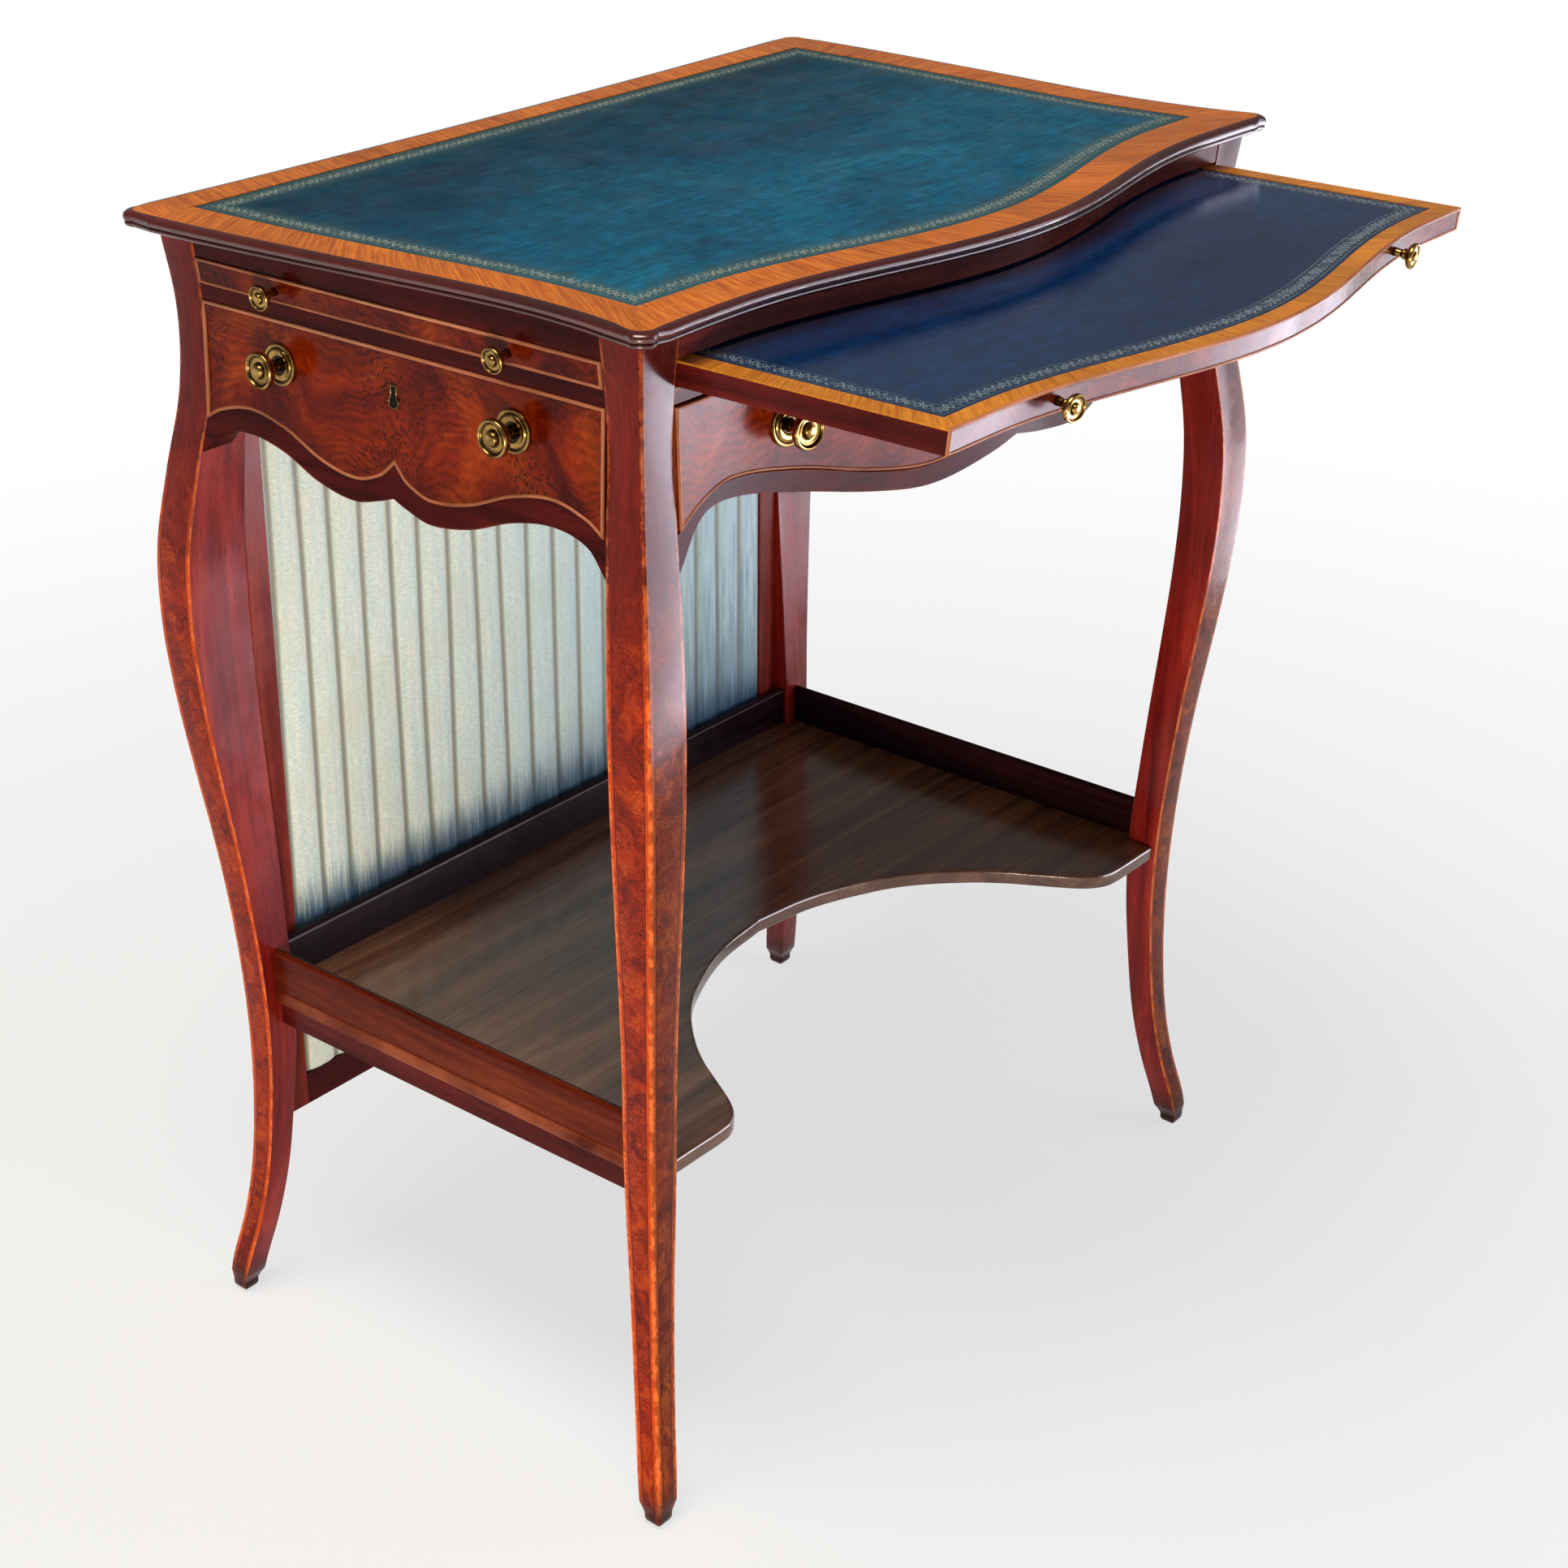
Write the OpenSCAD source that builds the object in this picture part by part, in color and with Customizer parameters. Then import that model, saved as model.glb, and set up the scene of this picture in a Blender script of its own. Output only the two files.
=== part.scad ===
// Small serpentine writing table with a writing slide, a frieze drawer and a rising silk screen.
// Millimetres, +Z up, X along the long side, the kneehole and the slide at -Y, the screen at +Y.
// The floor is z = 0 and the middle of the four feet is x = 0, y = 0.

/* [Table] */
// Height of the writing surface above the floor
table_h = 760; // [700:1:800]
// Thickness of the top at its moulded edge
top_t = 9; // [8:0.5:14]
// Bow of the serpentine front in the middle
bow = 33; // [20:1:45]
// Half length of the bowed part of the front
bow_half = 225; // [200:1:240]
// How far the top stands over the slimmest part of the legs, at the front corners
top_front_over = 14.4; // [8:0.2:20]
// How far the top stands over the slimmest part of the legs, at the back
top_back_over = 12.4; // [8:0.2:20]

/* [Legs] */
// Half spread of the slimmest part of the legs along X
leg_x = 284; // [260:1:300]
// Half spread of the slimmest part of the legs along Y
leg_y = 177.6; // [160:0.2:190]
// Width of the leg posts at the frieze, along X, inside the half spread
post_w = 20; // [18:0.5:24]
// Depth of the leg posts at the frieze, along Y, inside the half spread
post_d = 20.1; // [18:0.1:24]
// Width of the back legs inside the half spread, straight for the screen
back_post_w = 23; // [20:0.5:27]
// Side of the square toe under each foot
toe = 11; // [8:0.5:14]
// Height of the toe
toe_h = 9; // [6:0.5:14]

/* [Frieze] */
// Height of the upper rails, over the slide
upper_rail_h = 16; // [12:0.5:20]
// Height of the middle rails, between the slide and the drawer
mid_rail_h = 9.8; // [7:0.1:14]
// Thickness of the front rails at the ends
rail_t = 20; // [14:1:26]
// Thickness of the side friezes
side_t = 17; // [12:1:22]
// Height of the back rail
back_rail_h = 111; // [80:1:120]
// Thickness of the back rail
back_rail_t = 16.6; // [12:0.2:20]
// Width of the cockbeads
bead_w = 1.9; // [1.2:0.1:3]
// How far the cockbeads stand proud of the leg faces
bead_proud = 1.1; // [0.5:0.1:2]

/* [Writing slide] */
// Distance the slide is drawn out in the photograph
slide_out = 170; // [0:1:180]
// Thickness of the slide
slide_t = 14.3; // [11:0.1:18]
// Clearance of the slide and the drawer at each end, inside the posts
end_gap = 1.4; // [0.6:0.1:3]
// Clearance of the slide behind, in front of the back rail
slide_back_gap = 12; // [4:1:40]
// Depth of the front lipping at the ends
lip_t = 24; // [16:1:30]
// Width of the satinwood band at the sides of the slide
slide_band = 13; // [8:0.5:20]
// Width of the satinwood band behind the front lipping line
slide_band_front = 12; // [8:0.5:20]

/* [Drawer] */
// Thickness of the drawer front
drawer_front_t = 17; // [14:1:22]
// Clearance of the drawer behind, in front of the back rail
drawer_back_gap = 16; // [4:1:40]
// Thickness of the drawer sides and back
drawer_side_t = 8; // [6:0.5:12]
// Height of the drawer sides
drawer_side_h = 42; // [34:1:46]
// Thickness of the drawer bottom
drawer_bottom_t = 5; // [4:0.5:8]

/* [Shelf] */
// Top surface of the undertier
shelf_top = 241; // [230:1:260]
// Thickness of the undertier
shelf_t = 10; // [7:0.5:14]
// Height of the galleries above the undertier
gallery_h = 28.5; // [20:0.5:40]
// Thickness of the galleries
gallery_t = 6.5; // [4:0.5:10]
// Set-back of the side galleries from the half spread of the legs
gallery_in = 8.5; // [4:0.5:12]
// Depth of the rails below the undertier
shelf_rail_h = 17; // [10:1:26]
// Thickness of the rails below the undertier
shelf_rail_t = 10; // [7:0.5:13]
// Set-back of the undertier's front edge from the half spread of the legs
shelf_front_in = 1.6; // [0:0.2:8]
// Depth of the kneehole cut, measured back from the front edge
knee_cut = 148; // [100:1:160]
// Half width of the kneehole cut
knee_half = 220; // [190:1:235]

/* [Screen] */
// Set-back of the screen's face from the half spread of the back legs
screen_in = 7.6; // [6.6:0.1:8]
// Thickness of the screen frame
screen_t = 7.6; // [6:0.1:8]
// Width of the stiles
stile_w = 17.6; // [12:0.2:26]
// Lower edge of the screen frame
screen_bot = 131; // [120:1:140]
// Height of the bottom rail of the screen
screen_bottom_rail_h = 23; // [16:1:34]
// Height of the top rail of the screen
screen_top_rail_h = 24; // [18:1:34]
// Number of pleats in the silk
pleats = 19; // [11:1:31]
// Depth of each pleat
pleat_d = 2.2; // [1:0.1:3]
// Thickness of the silk with its lining
silk_t = 0.8; // [0.5:0.1:1.2]

/* [Fittings] */
// Diameter of the drawer knobs
knob_d = 22; // [16:0.5:28]
// Diameter of the plates behind the drawer knobs
plate_d = 25; // [20:0.5:30]
// Reach of the drawer knobs
knob_reach = 20; // [14:0.5:26]
// Diameter of the slide knobs
small_knob_d = 15.5; // [10:0.5:20]
// Reach of the slide knobs
small_knob_reach = 14; // [10:0.5:20]
// Distance of the side knobs from the middle of the side
side_knob_y = 92; // [80:1:110]
// Distance of the front knobs from the middle of the front
front_knob_x = 175; // [150:1:200]

/* [Hidden] */
$fn = 64;
veneer_t = 1.2;
leather_drop = 0.3;
recess = 0.6;
panel_out = 0.4;
play = 0.3;
slide_gap = 1;
drawer_gap = 1.4;
box_drop = 6.2;
floor_up = 2;
side_knob_drop = 26.2;
front_knob_drop = 31.2;
slide_knob_up = 6.8;
tongue = 5;
tongue_up = 21;
kicker_gap = 0.4;
runner_drop = 12;

// The posts, and the levels of the frieze from the top down
under_top = table_h - top_t;
post_x = leg_x - post_w;
post_y = leg_y - post_d;
back_inner = leg_x - back_post_w;
upper_z = under_top - upper_rail_h;
slide_top = upper_z - slide_gap;
slide_bot = slide_top - slide_t;
mid_top = slide_bot - play;
mid_bot = mid_top - mid_rail_h;
drawer_top = mid_bot - drawer_gap;
box_top = drawer_top - box_drop;
drawer_side_z = box_top - drawer_side_h;
floor_z = drawer_side_z + floor_up;
slide_half = post_x - end_gap;
drawer_half = post_x - end_gap;

// The screen slides in grooves of the back legs, close behind the back rail
screen_y = leg_y - screen_in;
seam_y = screen_y - 0.4;
rail_out_y = screen_y - 1.4;
rail_in_y = rail_out_y - back_rail_t;
groove_y0 = screen_y + 1.8;
groove_y1 = groove_y0 + 4;
groove_depth = tongue;
slide_back = rail_in_y - slide_back_gap;
drawer_back = rail_in_y - drawer_back_gap;
stile_out = back_inner - 0.4;
silk_half = stile_out - stile_w;
silk_bot = screen_bot + screen_bottom_rail_h;
side_knob_z = mid_bot - 0.4 - side_knob_drop;
front_knob_z = drawer_top - front_knob_drop;
slide_knob_z = slide_bot + slide_knob_up;

// The undertier
gallery_x = leg_x - gallery_in;
gallery_top = shelf_top + gallery_h;
shelf_front = leg_y - shelf_front_in;
shelf_rail_z = shelf_top - shelf_t - shelf_rail_h;

// Levels, in the heights of the leg stations, where the knee ends and the straight post begins
knee_z = 560;
post_z = 640;

// Heights of the leg stations and, at each, how far the outer corner leans out and the section
LEG_Z = [0, 25, 60, 100, 150, 200, 250, 300, 350, 400, 450, 500, 550, 600, 650, 700, 751];
LEG_LEAN = [20, 17, 9.8, 4.2, 0.9, 0, 1.3, 4.3, 8.9, 14.6, 19.8, 22.9, 22, 15, 6.7, 4.9, 9.8];
LEG_SIDE = [15.6, 17.3, 17.6, 18.2, 19.3, 21.3, 22.7, 23, 24.4, 26.6, 28.8, 30.4, 30.6, 29, 26.7, 24.9, 29.8];
// Outline of the crossbanded top along the sides: how far it stands over leg_x at each Y
SIDE_Y = [-195, -150, -100, -50, 0, 50, 100, 150, 196];
SIDE_X = [17.5, 9.8, 7, 9.3, 13.5, 17.5, 21, 23.5, 24];
// Outline of the leather along the sides: how far it stands inside leg_x at each Y
HIDE_Y = [-165, -100, -50, 0, 50, 100, 170];
HIDE_X = [15, 18, 15.8, 12.3, 8.7, 5.5, 3.5];
// The heights below move with the underside of the top, which the last leg station stands for
lift = under_top - LEG_Z[len(LEG_Z) - 1];
// Drawer edge and apron edge, side frieze: height at each distance from the middle
SIDE_S = [0, 10, 30, 60, 90, 120, 145, 157.5];
SIDE_BEAD_Z = [644, 635, 629, 633.5, 645, 650, 644.5, 637.5];
SIDE_APRON_Z = [624, 620.5, 616, 620.5, 631, 635.5, 630, 616];
// Drawer edge and apron edge, front frieze
FRONT_S = [0, 25, 75, 115, 170, 220, 245, 264];
FRONT_BEAD_Z = [645, 639, 632.3, 637, 650.5, 657.3, 650.5, 639.5];
FRONT_APRON_Z = [631.5, 626.6, 620.3, 625, 637.2, 646.3, 642, 618];
// Kneehole cut of the undertier: share of the depth at each distance from the middle
KNEE_X = [0, 50, 100, 125, 150, 165, 175, 188, 197, 208, 220];
KNEE_S = [1, 0.949, 0.811, 0.696, 0.527, 0.392, 0.277, 0.128, 0.054, 0.01, 0];

// Smooth curve through stations: cubic with slopes taken from the neighbours
function seg(t, x, i = 0) = (i >= len(t) - 2 || x < t[i + 1]) ? i : seg(t, x, i + 1);
function slope(t, v, i) =
    i == 0 ? (v[1] - v[0]) / (t[1] - t[0])
    : i == len(t) - 1 ? (v[i] - v[i - 1]) / (t[i] - t[i - 1])
    : (v[i + 1] - v[i - 1]) / (t[i + 1] - t[i - 1]);
function curve(t, v, x) =
    let (i = seg(t, x))
    let (h = t[i + 1] - t[i])
    let (u = (x - t[i]) / h)
    let (a = slope(t, v, i) * h)
    let (b = slope(t, v, i + 1) * h)
    v[i] * (1 + 2 * u) * pow(1 - u, 2) + a * u * pow(1 - u, 2)
    + v[i + 1] * u * u * (3 - 2 * u) - b * u * u * (1 - u);
// Same curve for values given at distances from the middle, flat where it crosses the middle
function even_curve(t, v, x) = curve(t, v, abs(x));

// Leg outline in the X-Z and Y-Z planes
function drawn(z) = z * LEG_Z[len(LEG_Z) - 1] / under_top;
function lean(z) = curve(LEG_Z, LEG_LEAN, drawn(z));
function leg_side(z) = curve(LEG_Z, LEG_SIDE, drawn(z));
function outer_x(z) = leg_x + lean(z);
function outer_y(z) = leg_y + lean(z);
function inner_x(z) =
    drawn(z) > post_z ? post_x
    : drawn(z) > knee_z ? max(post_x, outer_x(z) - leg_side(z))
    : outer_x(z) - leg_side(z);
function inner_y(z) = inner_x(z) - post_x + post_y;
ankle_z = LEG_Z[5];
function back_inner_x(z) =
    drawn(z) > ankle_z ? back_inner : max(back_inner, inner_x(z) - 1.6 * pow(drawn(z) / ankle_z, 2));
function bowed(x) = abs(x) >= bow_half ? 0 : bow * pow(cos(90 * x / bow_half), 2);
function lean_turn(z) = atan((lean(z + 1) - lean(z - 1)) / 2);
function bow_turn(x) = atan(bow * sin(180 * x / bow_half) * PI / 2 / bow_half);
function steps(a, b, n) = [for (i = [0 : n]) a + (b - a) * i / n];

leg_levels = concat([15], steps(30, under_top, 36));
leg_in = [for (z = leg_levels) [z, inner_x(z)]];

// Outline of a leg in a vertical plane: toe, then outer edge up, then inner edge down
function leg_profile(mid, outer, inner) =
    concat(
        [[mid - toe / 2, 0], [mid + toe / 2, 0], [mid + toe / 2, toe_h]],
        [for (i = [0 : len(leg_levels) - 1]) [outer[i], leg_levels[i]]],
        [for (i = [len(leg_levels) - 1 : -1 : 0]) [inner[i], leg_levels[i]]],
        [[mid - toe / 2, toe_h]]
    );
toe_x = outer_x(5) - leg_side(5) / 2;
toe_y = toe_x - leg_x + leg_y;
outers_x = [for (z = leg_levels) outer_x(z)];
outers_y = [for (z = leg_levels) outer_y(z)];
profile_x_front = leg_profile(toe_x, outers_x, [for (z = leg_levels) inner_x(z)]);
profile_x_back = leg_profile(toe_x, outers_x, [for (z = leg_levels) back_inner_x(z)]);
profile_y = leg_profile(toe_y, outers_y, [for (z = leg_levels) inner_y(z)]);

// Extrudes an X-Z drawing along Y, between y0 and y1
module along_y(y0, y1) {
    translate([0, y1, 0])
    rotate([90, 0, 0])
    linear_extrude(height = y1 - y0)
    children();
}
// Extrudes a Y-Z drawing along X, between x0 and x1
module along_x(x0, x1) {
    translate([x0, 0, 0])
    rotate([90, 0, 90])
    linear_extrude(height = x1 - x0)
    children();
}
module both_sides() {
    children();
    mirror([1, 0, 0]) children();
}

// Leg in the +X +Y quarter
module leg(px) {
    intersection() {
        along_y(leg_y / 2, leg_y + 60) polygon(px);
        along_x(leg_x / 2, leg_x + 60) polygon(profile_y);
    }
}
module back_leg() {
    difference() {
        leg(profile_x_back);
        translate([back_inner - 2, groove_y0, screen_bot + tongue_up - 12])
        cube([groove_depth + 2, groove_y1 - groove_y0, under_top]);
    }
}
module leg_front_left() {
    color("#8a3b1c") mirror([1, 0, 0]) mirror([0, 1, 0]) leg(profile_x_front);
}
module leg_front_right() {
    color("#8a3b1c") mirror([0, 1, 0]) leg(profile_x_front);
}
module leg_back_left() {
    color("#8a3b1c") mirror([1, 0, 0]) back_leg();
}
module leg_back_right() {
    color("#8a3b1c") back_leg();
}

// Solid swept through rings of points; every ring has the same number of points.
// From point number turned on, the diagonals of the side faces run the other way.
module sweep(rings, turned = 1000) {
    n = len(rings);
    k = len(rings[0]);
    pts = [for (r = rings) for (p = r) p];
    sides = [for (i = [0 : n - 2]) for (j = [0 : k - 1])
        let (a = i * k + j)
        let (b = i * k + (j + 1) % k)
        for (t = j < turned ? [[a, b, b + k], [a, b + k, a + k]] : [[a, b, a + k], [b, b + k, a + k]]) t];
    first = [for (j = [1 : k - 2]) [0, j + 1, j]];
    last = [for (j = [1 : k - 2]) [(n - 1) * k, (n - 1) * k + j, (n - 1) * k + j + 1]];
    polyhedron(points = pts, faces = concat(sides, first, last), convexity = 6);
}
// Solid piece of the bowed front: heights[i] are its levels at xs[i]; the back is upright
module bowed_body(xs, heights, out, back) {
    sweep([for (i = [0 : len(xs) - 1])
        let (h = heights[i])
        let (end = len(h) - 1)
        concat(
            [for (z = h) [xs[i], -(outer_y(z) + bowed(xs[i]) + out), z]],
            [[xs[i], -(back + bowed(xs[i])), h[end]], [xs[i], -(back + bowed(xs[i])), h[0]]]
        )]);
}
// Thin layer on the bowed front, between two distances from the leg faces
module bowed_skin(xs, heights, out, under) {
    sweep([for (i = [0 : len(xs) - 1])
        let (h = heights[i])
        concat(
            [for (z = h) [xs[i], -(outer_y(z) + bowed(xs[i]) + out), z]],
            [for (j = [len(h) - 1 : -1 : 0]) [xs[i], -(outer_y(h[j]) + bowed(xs[i]) + under), h[j]]]
        )], len(heights[0]));
}
function part(v, a, b) = [for (i = [a : b]) v[i]];
// Columns of a long bead, stopped just short of the upright beads at its ends
joint_gap = 0.05;
function between_ends(xs) =
    concat([xs[1] + joint_gap], part(xs, 2, len(xs) - 3), [xs[len(xs) - 2] - joint_gap]);
// Columns across a front with a narrow column for the bead at each end
function columns(half, n) = concat([-half], steps(-half + bead_w, half - bead_w, n), [half]);
// Levels of a beaded front between lo and hi: bead, rows of panel, bead
function beaded(lo, hi, rows) = concat([lo], steps(lo + bead_w, hi - bead_w, rows), [hi]);

// Plan of the top
hide_in = 15.6;
hide_bow = bow + 4.5;
hide_bow_half = bow_half + 3;
ear_r = 9;
ear_x = leg_x + 17;
function front_line(x) =
    -(leg_y + top_front_over + bowed(x) + 3 * pow(max(0, abs(x) - bow_half) / (ear_x - bow_half), 2));
function side_line(y) = leg_x + curve(SIDE_Y, SIDE_X, y);
function back_line(x) = leg_y + top_back_over + 6 * pow(x / ear_x, 2);
function hide_side(y) = leg_x - curve(HIDE_Y, HIDE_X, y);
function hide_line(x) =
    -(leg_y - hide_in + (abs(x) >= hide_bow_half ? 0 : hide_bow * pow(cos(90 * x / hide_bow_half), 2)));
function arc(cx, cy, r, a0, a1, n) =
    [for (i = [0 : n]) [cx + r * cos(a0 + (a1 - a0) * i / n), cy + r * sin(a0 + (a1 - a0) * i / n)]];
fy = front_line(ear_x) + ear_r;
fx = side_line(fy - ear_r) - ear_r;
by = back_line(ear_x) - ear_r;
bx = side_line(by + ear_r) - ear_r;
side_ys = concat(steps(fy + 14, seam_y - 19.6, 14), [seam_y]);
n_side = len(side_ys);
left_path = [for (i = [n_side - 1 : -1 : 0]) [-side_line(side_ys[i]), side_ys[i]]];
right_path = [for (y = side_ys) [side_line(y), y]];
front_path = [for (x = steps(6.5 - fx, fx - 6.5, 38)) [x, front_line(x)]];
back_path = [for (x = steps(bx - 9, 9 - bx, 22)) [x, back_line(x)]];
left_ear = arc(-fx, fy, ear_r, 180, 270, 6);
right_ear = arc(fx, fy, ear_r, 270, 360, 6);
top_path = concat(left_path, left_ear, front_path, right_ear, right_path);
cap_front = seam_y + 0.4;
cap_path = concat([[side_line(seam_y), cap_front]], arc(bx, by, ear_r, 0, 90, 6), back_path,
    arc(-bx, by, ear_r, 90, 180, 6), [[-side_line(seam_y), cap_front]]);
hide_y0 = hide_line(leg_x);
hide_ys = steps(hide_y0 + 12, seam_y, 10);
hide_half = hide_side(hide_y0) - 0.3;
hide_path = concat(
    [for (i = [10 : -1 : 0]) [-hide_side(hide_ys[i]), hide_ys[i]]],
    [for (x = steps(-hide_half, hide_half, 36)) [x, hide_line(x)]],
    [for (y = hide_ys) [hide_side(y), y]]
);
seam_half = hide_side(seam_y);

// Section of the moulded edge, outward distance and height: small bead below, wide thumb above
MOULD = [[0, 0], [3, 0], [4.6, 0.7], [5.4, 1.6], [5.2, 2.6], [4.1, 3.2], [5.3, 3.7], [6.1, 5],
    [5.9, 6.6], [4.6, 8.1], [2.2, 8.9], [0, 9]];
function normal(p, i) =
    (i == 0 || i == len(p) - 1) ? [sign(p[i][0]), 0]
    : let (d = p[i + 1] - p[i - 1]) [d[1], -d[0]] / norm(d);
// The moulding dips where the rounded ears meet the long edges
function mould_ring(p, i, dips) =
    let (n = normal(p, i))
    let (k = len(search(i, dips)) > 0 ? 0.55 : 1)
    let (tall = top_t / MOULD[len(MOULD) - 1][1])
    [for (m = MOULD) [p[i][0] + n[0] * m[0] * k, p[i][1] + n[1] * m[0] * k, under_top + m[1] * tall]];
ear_a = n_side;
ear_b = ear_a + len(left_ear) - 1;
ear_c = ear_b + len(front_path) + 1;
ear_d = ear_c + len(right_ear) - 1;
top_dips = [ear_a, ear_b, ear_c, ear_d];

module top_board() {
    color("#5a1f14")
    translate([0, 0, under_top])
    linear_extrude(height = top_t - veneer_t)
    polygon(top_path);
}
module top_crossband() {
    color("#c9762b")
    translate([0, 0, table_h - veneer_t])
    linear_extrude(height = veneer_t)
    difference() {
        polygon(top_path);
        polygon(concat([[-seam_half, seam_y + 5]], hide_path, [[seam_half, seam_y + 5]]));
    }
}
module top_leather() {
    color("#1f4f63")
    translate([0, 0, table_h - veneer_t])
    linear_extrude(height = veneer_t - leather_drop)
    polygon(hide_path);
}
module moulding_left() {
    color("#3c1410") sweep([for (i = [0 : ear_a]) mould_ring(top_path, i, top_dips)]);
}
module moulding_front() {
    color("#3c1410") sweep([for (i = [ear_a : ear_d]) mould_ring(top_path, i, top_dips)]);
}
module moulding_right() {
    color("#3c1410") sweep([for (i = [ear_d : len(top_path) - 1]) mould_ring(top_path, i, top_dips)]);
}

// Front frieze
function front_s(x) = x * FRONT_S[len(FRONT_S) - 1] / post_x;
function front_bead(x) = lift + even_curve(FRONT_S, FRONT_BEAD_Z, front_s(x));
function front_apron(x) = lift + even_curve(FRONT_S, FRONT_APRON_Z, front_s(x));
rail_back = leg_y + 5 - rail_t;
rail_xs = steps(-post_x + 0.05, post_x - 0.05, 36);
module upper_rail_front() {
    color("#4a1710")
    bowed_body(rail_xs, [for (x = rail_xs) steps(upper_z, under_top, 2)], -recess, rail_back);
}
module mid_rail_front() {
    color("#4a1710")
    bowed_body(rail_xs, [for (x = rail_xs) [mid_bot, mid_top]], -recess, rail_back);
}
// The ends of the apron run out along the inner edges of the legs
apron_xs = steps(-post_x, post_x, 36);
module apron_front() {
    color("#4a1710")
    sweep([for (x = apron_xs)
        let (h = steps(front_apron(x), front_bead(x) - 0.8, 3))
        let (e = [for (z = h) abs(x) < post_x - 1 ? x : sign(x) * (lookup(z, leg_in) - play)])
        concat(
            [for (j = [0 : 3]) [e[j], -(outer_y(h[j]) + bowed(x) - recess), h[j]]],
            [[e[3], -(rail_back + bowed(x)), h[3]], [e[0], -(rail_back + bowed(x)), h[0]]]
        )]);
}

// Side frieze, drawn for the +X side
frieze_low = lift + min(SIDE_APRON_Z) - 16;
side_levels = steps(frieze_low, under_top, 12);
side_in = outer_x(lift + LEG_Z[15]) - side_t;
function face_strip(a, b) = concat(
    [for (z = side_levels) [outer_x(z) + b, z]],
    [for (i = [len(side_levels) - 1 : -1 : 0]) [outer_x(side_levels[i]) + a, side_levels[i]]]
);
ss = steps(-post_y, post_y, 64);
function side_s(s) = s * SIDE_S[len(SIDE_S) - 1] / post_y;
function side_bead(s) = lift + even_curve(SIDE_S, SIDE_BEAD_Z, side_s(s));
function side_apron(s) = lift + even_curve(SIDE_S, SIDE_APRON_Z, side_s(s));
frieze_end = post_y + 7.5;
module frieze() {
    color("#4a1710")
    intersection() {
        along_y(-frieze_end, frieze_end)
        polygon(concat([for (z = side_levels) [outer_x(z) - recess, z]],
            [[side_in, under_top], [side_in, frieze_low]]));
        along_x(leg_x - 2 * side_t, leg_x + 2 * side_t)
        difference() {
            polygon(concat([[-frieze_end, under_top], [-frieze_end, side_apron(post_y)]],
                [for (s = ss) [s, side_apron(s)]],
                [[frieze_end, side_apron(post_y)], [frieze_end, under_top]]));
            polygon(profile_y);
            mirror([1, 0]) polygon(profile_y);
        }
    }
}
module frieze_right() {
    frieze();
}
module frieze_left() {
    mirror([1, 0, 0]) frieze();
}
// Veneered panels and beads laid on the side frieze
panel_y = post_y - 0.4;
sham_bot = mid_top + 0.3;
sham_top = upper_z;
sham_drawer_top = mid_bot - 0.4;
module on_side(out) {
    both_sides()
    intersection() {
        along_y(-frieze_end, frieze_end) polygon(face_strip(-recess, out));
        along_x(leg_x - side_t, leg_x + 2 * side_t) children();
    }
}
module slide_shape(d) {
    translate([-panel_y + d, sham_bot + d]) square([2 * (panel_y - d), sham_top - sham_bot - 2 * d]);
}
module drawer_shape(d) {
    polygon(concat([[panel_y - d, sham_drawer_top - d], [-panel_y + d, sham_drawer_top - d]],
        [[-panel_y + d, side_bead(panel_y - d) + d]],
        [for (s = ss) if (abs(s) < panel_y - d - 0.5) [s, side_bead(s) + d]],
        [[panel_y - d, side_bead(panel_y - d) + d]]));
}
module side_slide_panels() {
    color("#a8481a") on_side(panel_out) slide_shape(bead_w);
}
module side_drawer_panels() {
    color("#a8481a") on_side(panel_out) drawer_shape(bead_w);
}
module side_slide_beads() {
    color("#b57a5c")
    on_side(bead_proud)
    difference() {
        slide_shape(0);
        slide_shape(bead_w);
    }
}
module side_drawer_beads() {
    color("#b57a5c")
    on_side(bead_proud)
    difference() {
        drawer_shape(0);
        drawer_shape(bead_w);
    }
}
module back_rail() {
    color("#4a1710")
    translate([-back_inner, rail_in_y, under_top - back_rail_h])
    cube([2 * back_inner, back_rail_t, back_rail_h]);
}

// Runners inside the frieze, notched round the front posts; each laps its piece by its own width
module runner(inner, z0, z1) {
    color("#6b3a20")
    both_sides()
    translate([0, 0, z0])
    linear_extrude(height = z1 - z0)
    polygon([[inner, -rail_back], [post_x, -rail_back], [post_x, -post_y], [side_in, -post_y],
        [side_in, rail_in_y], [inner, rail_in_y]]);
}
module slide_runners() {
    runner(slide_half - 20.6, mid_bot, mid_top);
}
module slide_kickers() {
    runner(slide_half - 12.6, slide_top + kicker_gap, under_top);
}
module drawer_runners() {
    runner(drawer_half - 16.6, drawer_side_z - runner_drop, drawer_side_z - play);
}

// Brass fittings, drawn with the axis along +Z and the mounting face at z = 0
module knob_shape(d, reach) {
    r = d / 2;
    rotate_extrude()
    polygon([[0, 0], [r * 0.34, 0], [r * 0.30, reach * 0.30], [r * 0.42, reach * 0.42],
        [r * 0.40, reach * 0.50], [r * 0.80, reach * 0.62], [r, reach * 0.74], [r, reach * 0.82],
        [r * 0.90, reach * 0.90], [r * 0.62, reach * 0.86], [r * 0.50, reach * 0.93],
        [r * 0.22, reach], [0, reach]]);
}
module plate_shape(d) {
    r = d / 2;
    rotate_extrude()
    polygon([[4, 0], [r, 0], [r, 1.1], [r * 0.93, 1.8], [r * 0.80, 1.4], [r * 0.70, 2], [4, 2.4]]);
}
module keyhole_outline(d) {
    translate([0, 3.2]) circle(r = 3.2 + d);
    translate([-1.7 - d, -6 - d]) square([3.4 + 2 * d, 9 + d]);
}
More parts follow.
